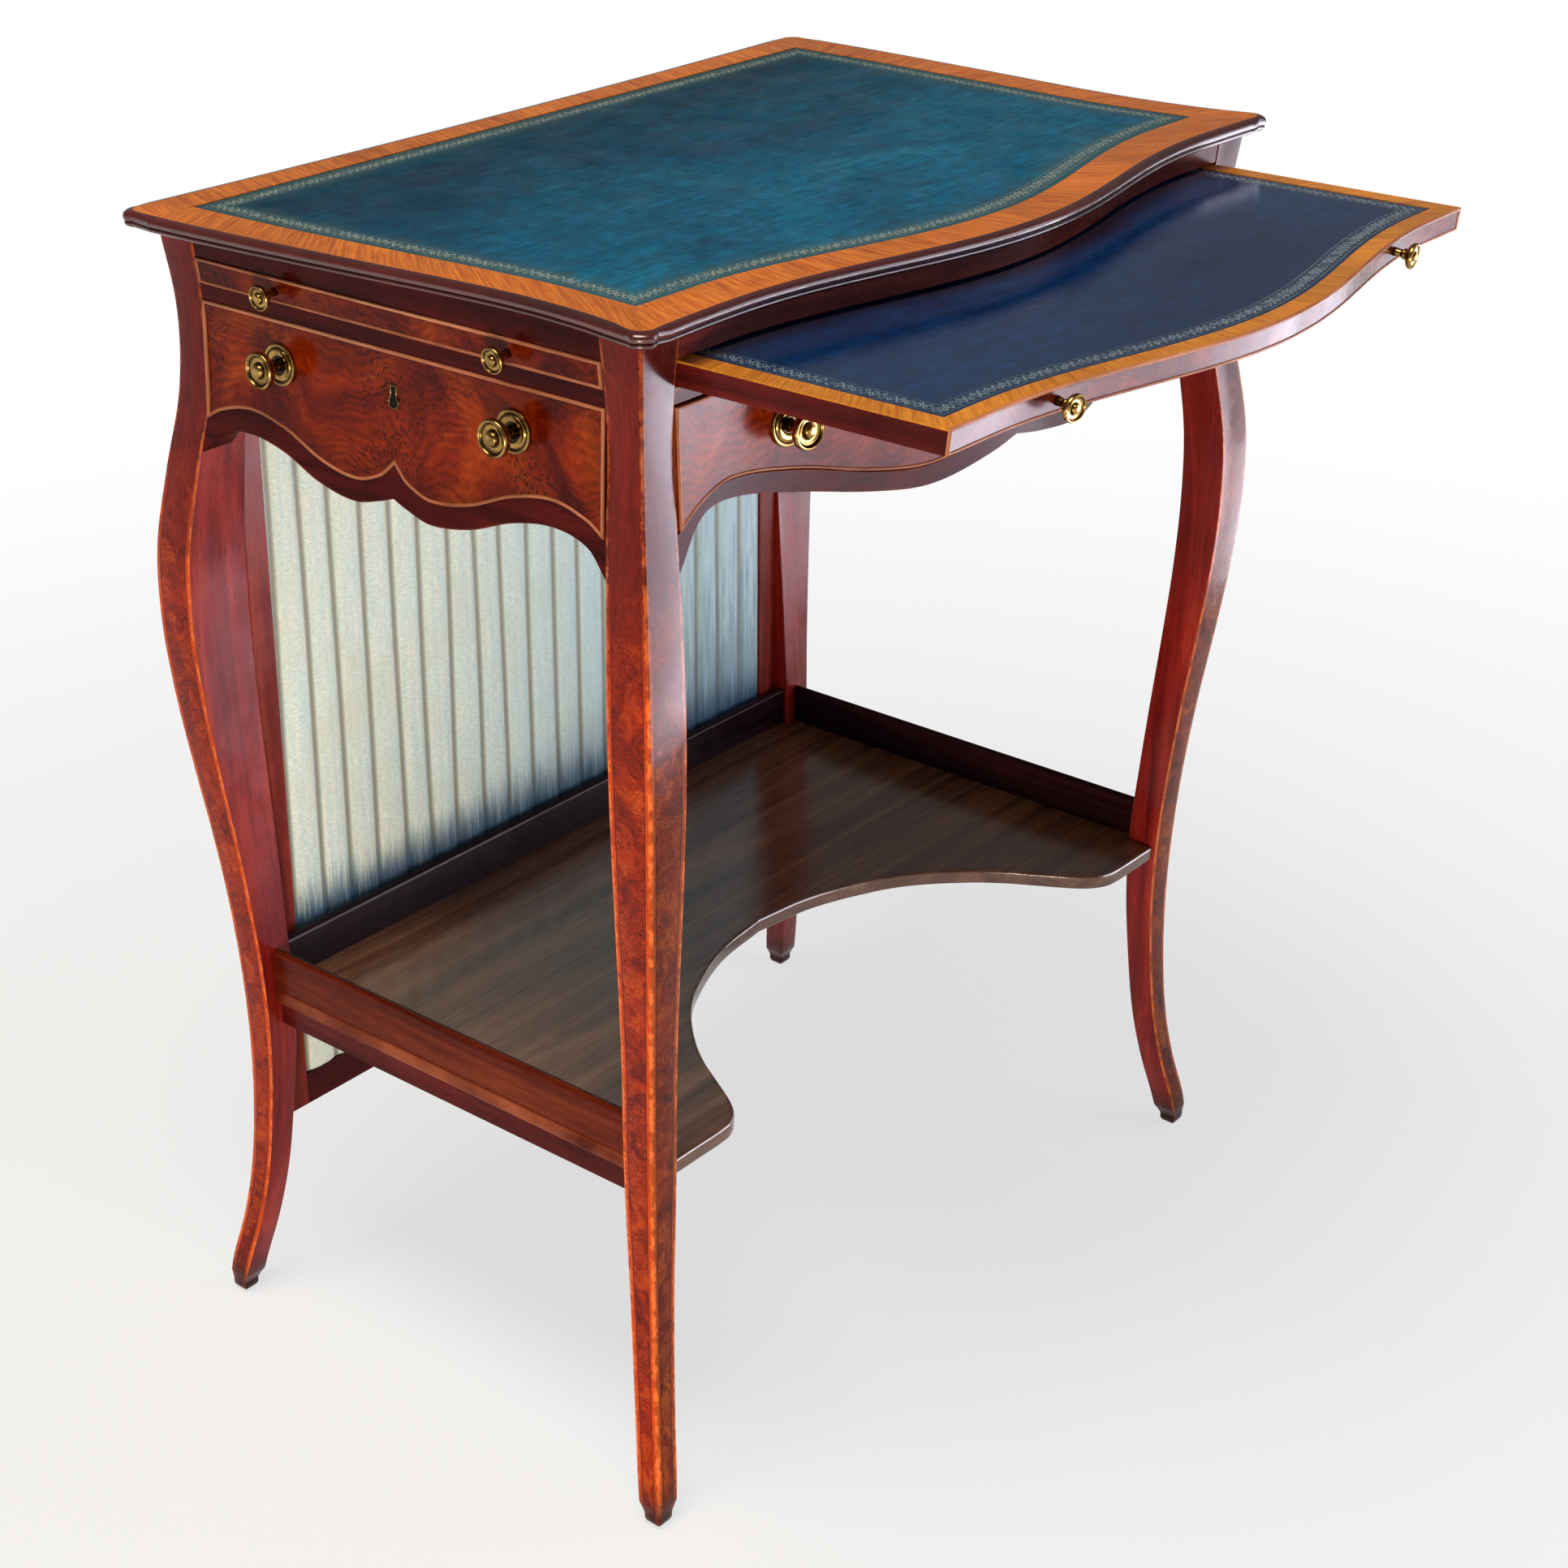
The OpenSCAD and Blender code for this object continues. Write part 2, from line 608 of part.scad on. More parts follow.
module keyhole_shape(t) {
    linear_extrude(height = t)
    difference() {
        keyhole_outline(1);
        keyhole_outline(0);
    }
}
module at_side(y, z, out) {
    both_sides()
    translate([outer_x(z) + out, y, z])
    rotate([90, 0, 90])
    rotate([lean_turn(z), 0, 0])
    children();
}
module at_front(x, z, out) {
    translate([x, -(outer_y(z) + bowed(x) + out), z])
    rotate([90, 0, bow_turn(x)])
    rotate([lean_turn(z), 0, 0])
    children();
}
module side_drawer_plates() {
    color("#b08d3c") for (s = [-1, 1]) at_side(s * side_knob_y, side_knob_z, 0.9) plate_shape(plate_d);
}
module side_drawer_knobs() {
    color("#b08d3c")
    for (s = [-1, 1]) at_side(s * side_knob_y, side_knob_z, 0.5) knob_shape(knob_d, knob_reach);
}
module side_slide_knobs() {
    color("#b08d3c")
    for (s = [-1, 1]) at_side(s * (side_knob_y - 1), slide_knob_z, 0.6) knob_shape(small_knob_d, small_knob_reach);
}
module side_escutcheons() {
    color("#b08d3c") at_side(0, side_knob_z, 0.6) keyhole_shape(0.7);
}

// Undertier with its kneehole
function knee(x) =
    abs(x) >= knee_half ? 0 : knee_cut * even_curve(KNEE_X, KNEE_S, x * KNEE_X[len(KNEE_X) - 1] / knee_half);
shelf_back = rail_out_y - 1.1;
shelf_x = inner_x(shelf_top) - 0.2;
shelf_y = inner_y(shelf_top) - 0.2;
module shelf_board() {
    color("#8a3b1c")
    translate([0, 0, shelf_top - shelf_t])
    linear_extrude(height = shelf_t)
    polygon(concat(
        [[-gallery_x - 1, -shelf_y], [-shelf_x, -shelf_y], [-shelf_x, -shelf_front]],
        [for (x = steps(-knee_half - 2, knee_half + 2, 74)) [x, -shelf_front + knee(x)]],
        [[shelf_x, -shelf_front], [shelf_x, -shelf_y], [gallery_x + 1, -shelf_y]],
        [[gallery_x + 1, shelf_y], [back_inner, shelf_y], [back_inner, shelf_back]],
        [[-back_inner, shelf_back], [-back_inner, shelf_y], [-gallery_x - 1, shelf_y]]
    ));
}
module shelf_rails() {
    color("#7a3018")
    both_sides()
    translate([gallery_x - 3 - shelf_rail_t, -shelf_y, shelf_rail_z])
    cube([shelf_rail_t, 2 * shelf_y, shelf_rail_h]);
}
// Gallery board with a rounded top edge, drawn across its thickness
module gallery_section() {
    r = gallery_t / 2;
    translate([0, shelf_top]) square([gallery_t, gallery_top - r - shelf_top]);
    translate([r, gallery_top - r]) circle(r = r);
}
module gallery_right() {
    color("#7a3018") translate([gallery_x - gallery_t, 0, 0]) along_y(-shelf_y, shelf_y) gallery_section();
}
module gallery_left() {
    mirror([1, 0, 0]) gallery_right();
}
module gallery_back() {
    color("#7a3018") translate([0, shelf_back - 1 - gallery_t, 0]) along_x(-back_inner, back_inner)
    gallery_section();
}

// Writing slide, drawn shut and then drawn out
module drawn_out() {
    translate([0, -slide_out, 0]) children();
}
slide_xs = columns(slide_half, 34);
slide_end = len(slide_xs) - 1;
slide_levels = [for (x = slide_xs) beaded(slide_bot, slide_top, 1)];
slide_layer = slide_top - veneer_t;
lip_back = leg_y + 5 - lip_t;
layer_end = -30;
function slide_line(x) = -(outer_y(slide_layer) - recess + bowed(x));
slide_hide_half = slide_half - slide_band;
slide_hide_xs = steps(-slide_hide_half, slide_hide_half, 34);
module slide_lipping() {
    color("#8a3b1c")
    drawn_out()
    bowed_body(slide_xs, [for (h = slide_levels) [h[0], h[1], h[2], slide_layer]], -recess, lip_back);
}
module slide_panel() {
    color("#a8481a")
    drawn_out()
    bowed_skin(part(slide_xs, 1, slide_end - 1),
        [for (i = [1 : slide_end - 1]) part(slide_levels[i], 1, 2)], panel_out, -recess);
}
module slide_beads() {
    mid = between_ends(slide_xs);
    color("#b57a5c")
    drawn_out() {
        bowed_skin(mid, [for (x = mid) [slide_bot, slide_bot + bead_w]], bead_proud, -recess);
        bowed_skin(mid, [for (x = mid) [slide_top - bead_w, slide_top]], bead_proud, -recess);
        bowed_skin(part(slide_xs, 0, 1), part(slide_levels, 0, 1), bead_proud, -recess);
        bowed_skin(part(slide_xs, slide_end - 1, slide_end), part(slide_levels, 0, 1), bead_proud,
            -recess);
    }
}
module slide_board() {
    color("#5a1f14")
    drawn_out()
    translate([0, 0, slide_bot]) {
        linear_extrude(height = slide_layer - slide_bot)
        polygon(concat([for (x = slide_xs) [x, -(lip_back + bowed(x))]],
            [[slide_half, slide_back], [-slide_half, slide_back]]));
        translate([-slide_half, layer_end, 0])
        cube([2 * slide_half, slide_back - layer_end, slide_top - slide_bot]);
    }
}
module slide_hide(back) {
    polygon(concat([for (x = slide_hide_xs) [x, slide_line(x) + slide_band_front]],
        [[slide_hide_half, back], [-slide_hide_half, back]]));
}
module slide_crossband() {
    color("#c9762b")
    drawn_out()
    translate([0, 0, slide_layer])
    linear_extrude(height = veneer_t)
    difference() {
        polygon(concat([for (x = slide_xs) [x, slide_line(x)]],
            [[slide_half, layer_end], [-slide_half, layer_end]]));
        slide_hide(layer_end + 5);
    }
}
module slide_leather() {
    color("#1c2433")
    drawn_out()
    translate([0, 0, slide_layer])
    linear_extrude(height = veneer_t - leather_drop)
    slide_hide(layer_end);
}
module slide_knobs() {
    color("#b08d3c")
    drawn_out()
    for (s = [-1, 1]) at_front(s * front_knob_x, slide_knob_z, 0.5)
        knob_shape(small_knob_d, small_knob_reach);
}

// Frieze drawer
drawer_xs = columns(drawer_half, 34);
drawer_end = len(drawer_xs) - 1;
drawer_levels = [for (x = drawer_xs) beaded(front_bead(x), drawer_top, 3)];
front_back = leg_y + 5 - drawer_front_t;
box_half = drawer_half - 1.6;
box_in = box_half - drawer_side_t;
module drawer_front() {
    color("#8a3b1c") bowed_body(drawer_xs, drawer_levels, -recess, front_back);
}
module drawer_panel() {
    color("#a8481a")
    bowed_skin(part(drawer_xs, 1, drawer_end - 1),
        [for (i = [1 : drawer_end - 1]) part(drawer_levels[i], 1, 4)], panel_out, -recess);
}
module drawer_beads() {
    mid = between_ends(drawer_xs);
    inner = part(drawer_levels, 1, drawer_end - 1);
    color("#b57a5c") {
        bowed_skin(mid, [for (h = inner) part(h, 0, 1)], bead_proud, -recess);
        bowed_skin(mid, [for (h = inner) part(h, 4, 5)], bead_proud, -recess);
        bowed_skin(part(drawer_xs, 0, 1), part(drawer_levels, 0, 1), bead_proud, -recess);
        bowed_skin(part(drawer_xs, drawer_end - 1, drawer_end),
            part(drawer_levels, drawer_end - 1, drawer_end), bead_proud, -recess);
    }
}
module drawer_sides() {
    color("#9b6a3c")
    both_sides()
    translate([box_in, -front_back, drawer_side_z])
    cube([drawer_side_t, front_back + drawer_back, box_top - drawer_side_z]);
}
module drawer_back_board() {
    color("#9b6a3c")
    translate([-box_in, drawer_back - drawer_side_t, floor_z + drawer_bottom_t])
    cube([2 * box_in, drawer_side_t, box_top - floor_z - drawer_bottom_t]);
}
module drawer_bottom() {
    color("#a87a4a")
    translate([0, 0, floor_z])
    linear_extrude(height = drawer_bottom_t)
    polygon(concat([[-box_in, -front_back]],
        [for (x = drawer_xs) if (abs(x) < box_in - 1) [x, -(front_back + bowed(x))]],
        [[box_in, -front_back], [box_in, drawer_back], [-box_in, drawer_back]]));
}
module drawer_plates() {
    color("#b08d3c") for (s = [-1, 1]) at_front(s * front_knob_x, front_knob_z, 0.9) plate_shape(plate_d);
}
module drawer_knobs() {
    color("#b08d3c")
    for (s = [-1, 1]) at_front(s * front_knob_x, front_knob_z, 0.9) knob_shape(knob_d, knob_reach);
}
module drawer_escutcheon() {
    color("#b08d3c") at_front(0, front_knob_z, 0.6) keyhole_shape(0.7);
}

// Rising screen and the strip of the top that lifts with it
screen_cap_z = under_top + play;
tongue_z = screen_bot + tongue_up;
module screen_stiles() {
    color("#6b2a18")
    both_sides() {
        translate([silk_half, screen_y, screen_bot])
        cube([stile_out - silk_half, screen_t, screen_cap_z - screen_bot]);
        translate([stile_out - 1, groove_y0 + play, tongue_z])
        cube([groove_depth + 1, groove_y1 - groove_y0 - 2 * play, screen_cap_z - tongue_z]);
    }
}
module screen_bottom_rail() {
    color("#6b2a18")
    translate([-silk_half, screen_y, screen_bot])
    cube([2 * silk_half, screen_t, screen_bottom_rail_h]);
}
module screen_top_rail() {
    color("#6b2a18")
    translate([-silk_half, screen_y, screen_cap_z - screen_top_rail_h])
    cube([2 * silk_half, screen_t, screen_top_rail_h]);
}
// Plan of the pleated silk: broad ridges with narrow folds between them
fold_x = 9;
function pleat(x) = pow(abs(cos(180 * (x + fold_x) * pleats / (2 * silk_half))), 3);
silk_xs = steps(-silk_half, silk_half, pleats * 10);
silk_y = screen_y + 1.2;
module screen_silk() {
    color("#9db3ad")
    translate([0, 0, silk_bot])
    linear_extrude(height = screen_cap_z - screen_top_rail_h - silk_bot)
    polygon(concat(
        [for (x = silk_xs) [x, silk_y + pleat_d * pleat(x)]],
        [for (i = [len(silk_xs) - 1 : -1 : 0]) [silk_xs[i], silk_y + silk_t + pleat_d * pleat(silk_xs[i])]]
    ));
}
module screen_cap() {
    color("#5a1f14")
    translate([0, 0, screen_cap_z])
    linear_extrude(height = table_h - veneer_t - screen_cap_z)
    polygon(cap_path);
}
module cap_crossband() {
    color("#c9762b")
    translate([0, 0, table_h - veneer_t])
    linear_extrude(height = veneer_t)
    polygon(cap_path);
}
cap_dips = [1, 7, 8 + len(back_path), 14 + len(back_path)];
module cap_moulding() {
    color("#3c1410") sweep([for (i = [0 : len(cap_path) - 1]) mould_ring(cap_path, i, cap_dips)]);
}

leg_front_left();
leg_front_right();
leg_back_left();
leg_back_right();
top_board();
top_crossband();
top_leather();
moulding_front();
moulding_left();
moulding_right();
upper_rail_front();
mid_rail_front();
apron_front();
frieze_left();
frieze_right();
back_rail();
side_slide_panels();
side_drawer_panels();
side_slide_beads();
side_drawer_beads();
side_escutcheons();
side_drawer_plates();
side_drawer_knobs();
side_slide_knobs();
slide_runners();
slide_kickers();
drawer_runners();
shelf_board();
shelf_rails();
gallery_left();
gallery_right();
gallery_back();
slide_board();
slide_lipping();
slide_panel();
slide_beads();
slide_crossband();
slide_leather();
slide_knobs();
drawer_front();
drawer_panel();
drawer_beads();
drawer_sides();
drawer_back_board();
drawer_bottom();
drawer_plates();
drawer_knobs();
drawer_escutcheon();
screen_stiles();
screen_bottom_rail();
screen_top_rail();
screen_silk();
screen_cap();
cap_crossband();
cap_moulding();
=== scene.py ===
"""Looks of a small serpentine writing table, dressed round its packed construction model.

The table stands on four square cabriole legs. A leather-lined slide draws out over the frieze drawer, and a
screen of pleated silk rises behind, carrying the back strip of the top. Shapes are worked out in
millimetres in the frame of the construction model and written to the meshes in metres.
"""

from __future__ import annotations

import logging
import math
from dataclasses import dataclass, field
from enum import Enum
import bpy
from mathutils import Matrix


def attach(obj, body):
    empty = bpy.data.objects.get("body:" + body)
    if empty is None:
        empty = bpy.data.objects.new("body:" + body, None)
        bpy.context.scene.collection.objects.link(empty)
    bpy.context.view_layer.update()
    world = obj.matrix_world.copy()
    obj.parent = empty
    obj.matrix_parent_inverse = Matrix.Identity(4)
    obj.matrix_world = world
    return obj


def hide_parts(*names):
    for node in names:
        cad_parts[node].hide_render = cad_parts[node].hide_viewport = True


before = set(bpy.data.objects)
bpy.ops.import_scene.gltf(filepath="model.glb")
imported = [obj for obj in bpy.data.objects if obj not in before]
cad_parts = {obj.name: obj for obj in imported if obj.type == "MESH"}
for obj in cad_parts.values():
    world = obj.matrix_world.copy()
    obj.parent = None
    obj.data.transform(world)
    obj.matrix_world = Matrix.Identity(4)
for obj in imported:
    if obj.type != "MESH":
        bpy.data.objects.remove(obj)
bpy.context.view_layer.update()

from types import SimpleNamespace
from typing import Callable, Sequence

import bmesh
import bpy
import numpy as np
from mathutils import Matrix

log = logging.getLogger("writing_table")

MM = 0.001
PANE, LOW_PANE = (240, 238, 255), (236, 238, 255)
NO_EDGE_NEAR = 0.05  # metres from an edge, for finishes of pieces that don't measure it
MERGE = 3e-6  # metres within which points of neighbouring patches are one
TUCK = 0.25  # millimetres by which the very edge of the leather is pressed down
BORDER = (np.s_[0], np.s_[-1], np.s_[:, 0], np.s_[:, -1])
LEG_LEVELS = (0, 25, 60, 100, 150, 200, 250, 300, 350, 400, 450, 500, 550, 600, 650, 700, 751)
FRONT_PLACES = (0, 25, 75, 115, 170, 220, 245, 264)
SIDE_PLACES = (0, 10, 30, 60, 90, 120, 145, 157.5)

Array = np.ndarray
Colour = tuple[float, float, float]
Point = tuple[float, float, float]
Edge = Callable[[Array], Array]
Face = Callable[[Array, Array, "Array | float"], tuple]


# Curves and outlines


@dataclass(frozen=True)
class Stations:
    """Smooth curve through measured stations.

    Between two stations the value is the cubic that meets both, with the slope at each station taken from its
    neighbours on either side.
    """

    at: tuple[float, ...]
    value: tuple[float, ...]

    def __call__(self, x: Array | float) -> Array:
        """Value of the curve.

        Args:
            x: Places along the curve.

        Returns:
            The curve's value at each place.
        """
        t, v = np.asarray(self.at, float), np.asarray(self.value, float)
        start, end = (v[1] - v[0]) / (t[1] - t[0]), (v[-1] - v[-2]) / (t[-1] - t[-2])
        s = np.r_[start, (v[2:] - v[:-2]) / (t[2:] - t[:-2]), end]
        x = np.asarray(x, float)
        i = np.clip(np.searchsorted(t, x, side="right") - 1, 0, len(t) - 2)
        h = t[i + 1] - t[i]
        u = (x - t[i]) / h
        rise = v[i] * (1 + 2 * u) * (1 - u) ** 2 + v[i + 1] * u * u * (3 - 2 * u)
        return rise + h * u * (1 - u) * (s[i] * (1 - u) - s[i + 1] * u)

    def even(self, x: Array) -> Array:
        """Value of the curve mirrored about zero."""
        return self(np.abs(x))


def swell(x: Array | float, depth: float, half: float) -> Array:
    """Serpentine bow: depth times the squared cosine of a quarter turn over the half width."""
    x = np.asarray(x, float)
    return np.where(np.abs(x) >= half, 0.0, depth * np.cos(np.pi / 2 * x / half) ** 2)


@dataclass(frozen=True)
class Form:
    """Sizes and outlines that the sub-assemblies share, in millimetres, as in the construction model."""

    table_h: float = 760.0
    under_top: float = 751.0
    front: float = 192.0
    bow: float = 33.0
    bow_half: float = 225.0
    flare: float = 3.0
    flare_run: float = 76.0
    back: float = 190.0
    back_bow: float = 6.0
    half_w: float = 300.0
    hide_y: float = 162.0
    hide_bow: float = 37.5
    hide_bow_half: float = 228.0
    leg_x: float = 284.0
    leg_y: float = 177.6
    post_x: float = 264.0
    post_y: float = 157.5
    post_z: float = 640.0
    neck_z: float = 560.0
    back_inner: float = 261.0
    flat_z: float = 200.0
    foot_taper: float = 1.6
    upper_z: float = 735.0
    mid_top: float = 719.4
    mid_bot: float = 709.6
    bead_w: float = 1.9
    bead_proud: float = 1.1
    recess: float = 0.6
    panel_out: float = 0.4
    rail_back: float = 162.6
    side_in: float = 271.9
    slide_out: float = 170.0
    seam_y: float = 169.6
    lean: Stations = Stations(
        LEG_LEVELS, (20, 17, 9.8, 4.2, 0.9, 0, 1.3, 4.3, 8.9, 14.6, 19.8, 22.9, 22, 15, 6.7, 4.9, 9.8)
    )
    leg_side: Stations = Stations(
        LEG_LEVELS,
        (15.6, 17.3, 17.6, 18.2, 19.3, 21.3, 22.7, 23, 24.4, 26.6, 28.8, 30.4, 30.6, 29, 26.7, 24.9, 29.8),
    )
    side_edge: Stations = Stations(
        (-195, -150, -100, -50, 0, 50, 100, 150, 196),
        (301.5, 293.8, 291, 293.3, 297.5, 301.5, 305, 307.5, 308),
    )
    hide_edge: Stations = Stations(
        (-165, -100, -50, 0, 50, 100, 170), (269, 266, 268.2, 271.7, 275.3, 278.5, 280.5)
    )
    side_bead: Stations = Stations(SIDE_PLACES, (644, 635, 629, 633.5, 645, 650, 644.5, 637.5))
    side_apron: Stations = Stations(SIDE_PLACES, (624, 620.5, 616, 620.5, 631, 635.5, 630, 616))
    front_bead: Stations = Stations(FRONT_PLACES, (645, 639, 632.3, 637, 650.5, 657.3, 650.5, 639.5))
    front_apron: Stations = Stations(FRONT_PLACES, (631.5, 626.6, 620.3, 625, 637.2, 646.3, 642, 618))
    knee: Stations = Stations(
        (0, 50, 100, 125, 150, 165, 175, 188, 197, 208, 220),
        (1, 0.949, 0.811, 0.696, 0.527, 0.392, 0.277, 0.128, 0.054, 0.01, 0),
    )

    def outer_x(self, z: Array | float) -> Array:
        """Outer face of the legs along X at a height."""
        return self.leg_x + self.lean(z)

    def outer_y(self, z: Array | float) -> Array:
        """Outer face of the legs along Y at a height."""
        return self.leg_y + self.lean(z)

    def inner_x(self, z: Array) -> Array:
        """Inner face of the front legs along X: outer face less the section, and a straight post above."""
        own = self.outer_x(z) - self.leg_side(z)
        neck = np.where(z > self.neck_z, np.maximum(self.post_x, own), own)
        return np.where(z > self.post_z, self.post_x, neck)

    def inner_y(self, z: Array) -> Array:
        """Inner face of the legs along Y at a height."""
        return self.inner_x(z) - self.post_x + self.post_y

    def back_inner_x(self, z: Array) -> Array:
        """Inner face of the back legs along X: upright for the screen, and tapered under it."""
        foot = self.inner_x(z) - self.foot_taper * (z / self.flat_z) ** 2
        return np.where(z > self.flat_z, self.back_inner, np.maximum(self.back_inner, foot))

    def bowed(self, x: Array | float) -> Array:
        """How far the serpentine front swells at x."""
        return swell(x, self.bow, self.bow_half)

    def front_edge(self, x: Array) -> Array:
        """Front line of the top in plan: bowed in the middle and flared at the ends."""
        beyond = np.maximum(0, np.abs(x) - self.bow_half) / self.flare_run
        return -(self.front + self.bowed(x) + self.flare * beyond**2)

    def back_edge(self, x: Array) -> Array:
        """Back line of the top in plan."""
        return self.back + self.back_bow * (x / self.half_w) ** 2

    def hide_front(self, x: Array) -> Array:
        """Front line of the top's leather in plan."""
        return -(self.hide_y + swell(x, self.hide_bow, self.hide_bow_half))


FORM = Form()


def level(z: float) -> Edge:
    """Straight edge at one height."""
    return lambda s: np.full(np.shape(s), z)


def joined(*parts: Array | float) -> Array:
    """Arrays brought to one shape, side by side along a new last axis."""
    return np.stack(np.broadcast_arrays(*parts), -1)


def raised(plan: Array, z: Array | float) -> Array:
    """Grid of plan points put at a height."""
    return np.dstack([plan, np.broadcast_to(z, plan.shape[:2])])


def travelled(line: Array) -> Array:
    """Distance travelled at each point of a line."""
    return np.cumsum(np.r_[0, np.linalg.norm(np.diff(line, axis=0), axis=1)])


def outward(path: Array, closed: bool = False) -> Array:
    """Mitred normals on the right-hand side of a path in plan.

    The normal of a point is the sum of its two edges' unit normals, divided by one plus their dot product,
    so that a step along it moves both edges out by the same distance.

    Args:
        path: Points of the path in plan.
        closed: Whether the last point joins the first.

    Returns:
        One normal for each point.
    """
    step = np.diff(np.vstack([path, path[:1]]) if closed else path, axis=0)
    unit = np.stack([step[:, 1], -step[:, 0]], -1) / np.linalg.norm(step, axis=1)[:, None]
    before = np.vstack([unit[-1:] if closed else unit[:1], unit[:-1] if closed else unit])
    after = unit if closed else np.vstack([unit, unit[-1:]])
    dot = np.sum(before * after, 1)[:, None]
    return (before + after) / np.maximum(1 + dot, 0.4)


def arc(cx: float, cy: float, r: float, a0: float, a1: float, n: int) -> Array:
    """Points on a circular arc between two angles in degrees."""
    a = np.radians(np.linspace(a0, a1, n))
    return np.stack([cx + r * np.cos(a), cy + r * np.sin(a)], -1)


# Meshes


@dataclass
class Shell:
    """Patches of surface that together close round one piece.

    Each patch is a grid of points with its own flat coordinates: two for the flat layer, and two more for
    the rim layer where the piece knows how far its edges are. Points that coincide are merged when the mesh
    is made, so neighbouring patches close up while the flat coordinates may break between them.
    """

    points: list[Array] = field(default_factory=list)
    faces: list[list[int]] = field(default_factory=list)
    flat: list[Array] = field(default_factory=list)
    slots: list[int] = field(default_factory=list)
    count: int = 0

    def add(self, points: Array, faces: Array, flat: Array, slot: int) -> Shell:
        """Adds points, faces that count from the first of them, and a flat coordinate for every corner."""
        self.points.append(points)
        self.faces += (faces + self.count).tolist()
        self.flat.append(flat)
        self.slots += [slot] * len(faces)
        self.count += len(points)
        return self

    def patch(
        self, grid: Array, flat: Array | None = None, slot: int = 0, keep: Array | None = None
    ) -> Shell:
        """Adds a grid of quads.

        Args:
            grid: Points, rows by columns by three, in millimetres.
            flat: Flat coordinates of the points; the grid's own x and z when left out.
            slot: Number of the finish.
            keep: Which quads to add, all of them when left out.

        Returns:
            The shell itself.
        """
        flat = grid[..., (0, 2)] * MM if flat is None else flat
        n, m = grid.shape[:2]
        keep = np.ones((n - 1, m - 1), bool) if keep is None else keep
        quads, corners = (
            np.stack([a[:-1, :-1], a[1:, :-1], a[1:, 1:], a[:-1, 1:]], 2)[keep]
            for a in (np.arange(n * m).reshape(n, m), flat)
        )
        return self.add(grid.reshape(-1, 3), quads, corners.reshape(-1, flat.shape[-1]), slot)

    def cap(self, rim: Array, flat: Array | None = None, slot: int = 0) -> Shell:
        """Adds one many-sided face, whose flat coordinates are its own x and y when none are given."""
        return self.add(rim, np.arange(len(rim))[None], rim[:, :2] * MM if flat is None else flat, slot)

    def slab(self, front: Array, back: Array, flat: Array | None = None) -> Shell:
        """Adds a closed piece between two grids.

        Args:
            front: Grid of the shown face.
            back: Grid of the hidden face, point for point behind the front.
            flat: Flat coordinates of the front.

        Returns:
            The shell itself.
        """
        flat = front[..., (0, 2)] * MM if flat is None else flat
        self.patch(front, flat).patch(back[::-1], flat[::-1])
        for pick in BORDER:
            self.patch(np.stack([front[pick], back[pick]]), np.stack([flat[pick], flat[pick]]))
        return self

    def tube(self, rings: Array) -> Shell:
        """Adds a closed skin through open rings of points, with a face at each end."""
        closed = np.concatenate([rings, rings[:, :1]], 1)
        flat = joined(travelled(rings[:, 0])[:, None], travelled(closed[0])[None]) * MM
        return self.patch(closed, flat).cap(rings[0][::-1], flat[0, :-1][::-1]).cap(rings[-1], flat[-1, :-1])

    def make(
        self, name: str, finishes: Sequence[bpy.types.Material], smooth: float = 35.0, bevel: float = 0.0
    ) -> bpy.types.Object:
        """Makes the piece.

        Args:
            name: Name of the piece.
            finishes: Materials, in the order of the slot numbers.
            smooth: Edges sharper than this angle in degrees stay crisp.
            bevel: Width in millimetres of the softened edges, none when zero.

        Returns:
            The new object.
        """
        mesh = bpy.data.meshes.new(name)
        mesh.from_pydata((np.concatenate(self.points) * MM).tolist(), [], self.faces)
        rims = [np.tile([NO_EDGE_NEAR, 0.0], (len(f), 1)) if f.shape[1] == 2 else f[:, 2:] for f in self.flat]
        for layer, uv in (("flat", [f[:, :2] for f in self.flat]), ("rim", rims)):
            uv = np.concatenate(uv).astype(np.float32)
            mesh.uv_layers.new(name=layer).data.foreach_set("uv", uv.ravel())
        mesh.polygons.foreach_set("material_index", np.array(self.slots, np.int32))
        work = bmesh.new()
        work.from_mesh(mesh)
        bmesh.ops.remove_doubles(work, verts=work.verts, dist=MERGE)
        bmesh.ops.dissolve_degenerate(work, dist=1e-7, edges=work.edges)
        bmesh.ops.recalc_face_normals(work, faces=work.faces)
        work.to_mesh(mesh)
        work.free()
        mesh.polygons.foreach_set("use_smooth", np.ones(len(mesh.polygons), bool))
        mesh.set_sharp_from_angle(angle=math.radians(smooth))
        for finish in finishes:
            mesh.materials.append(finish)
        piece = bpy.data.objects.new(name, mesh)
        bpy.context.scene.collection.objects.link(piece)
        if bevel:
            soft = piece.modifiers.new("soft_edges", "BEVEL")
            soft.width, soft.segments, soft.limit_method = bevel * MM, 2, "ANGLE"
            soft.angle_limit, soft.harden_normals = math.radians(smooth), True
        return piece


# Node trees


def srgb(red: float, green: float, blue: float) -> tuple[float, float, float, float]:
    """Linear colour of a display colour given in 0 to 255."""
    c = np.array([red, green, blue]) / 255
    c = np.where(c <= 0.04045, c / 12.92, ((c + 0.055) / 1.055) ** 2.4)
    return float(c[0]), float(c[1]), float(c[2]), 1.0


def operator(kind: str) -> Callable[..., Value]:
    """Way of writing one kind of Math node as an operator between values."""
    return lambda *values: values[0].graph.math(kind, *values)


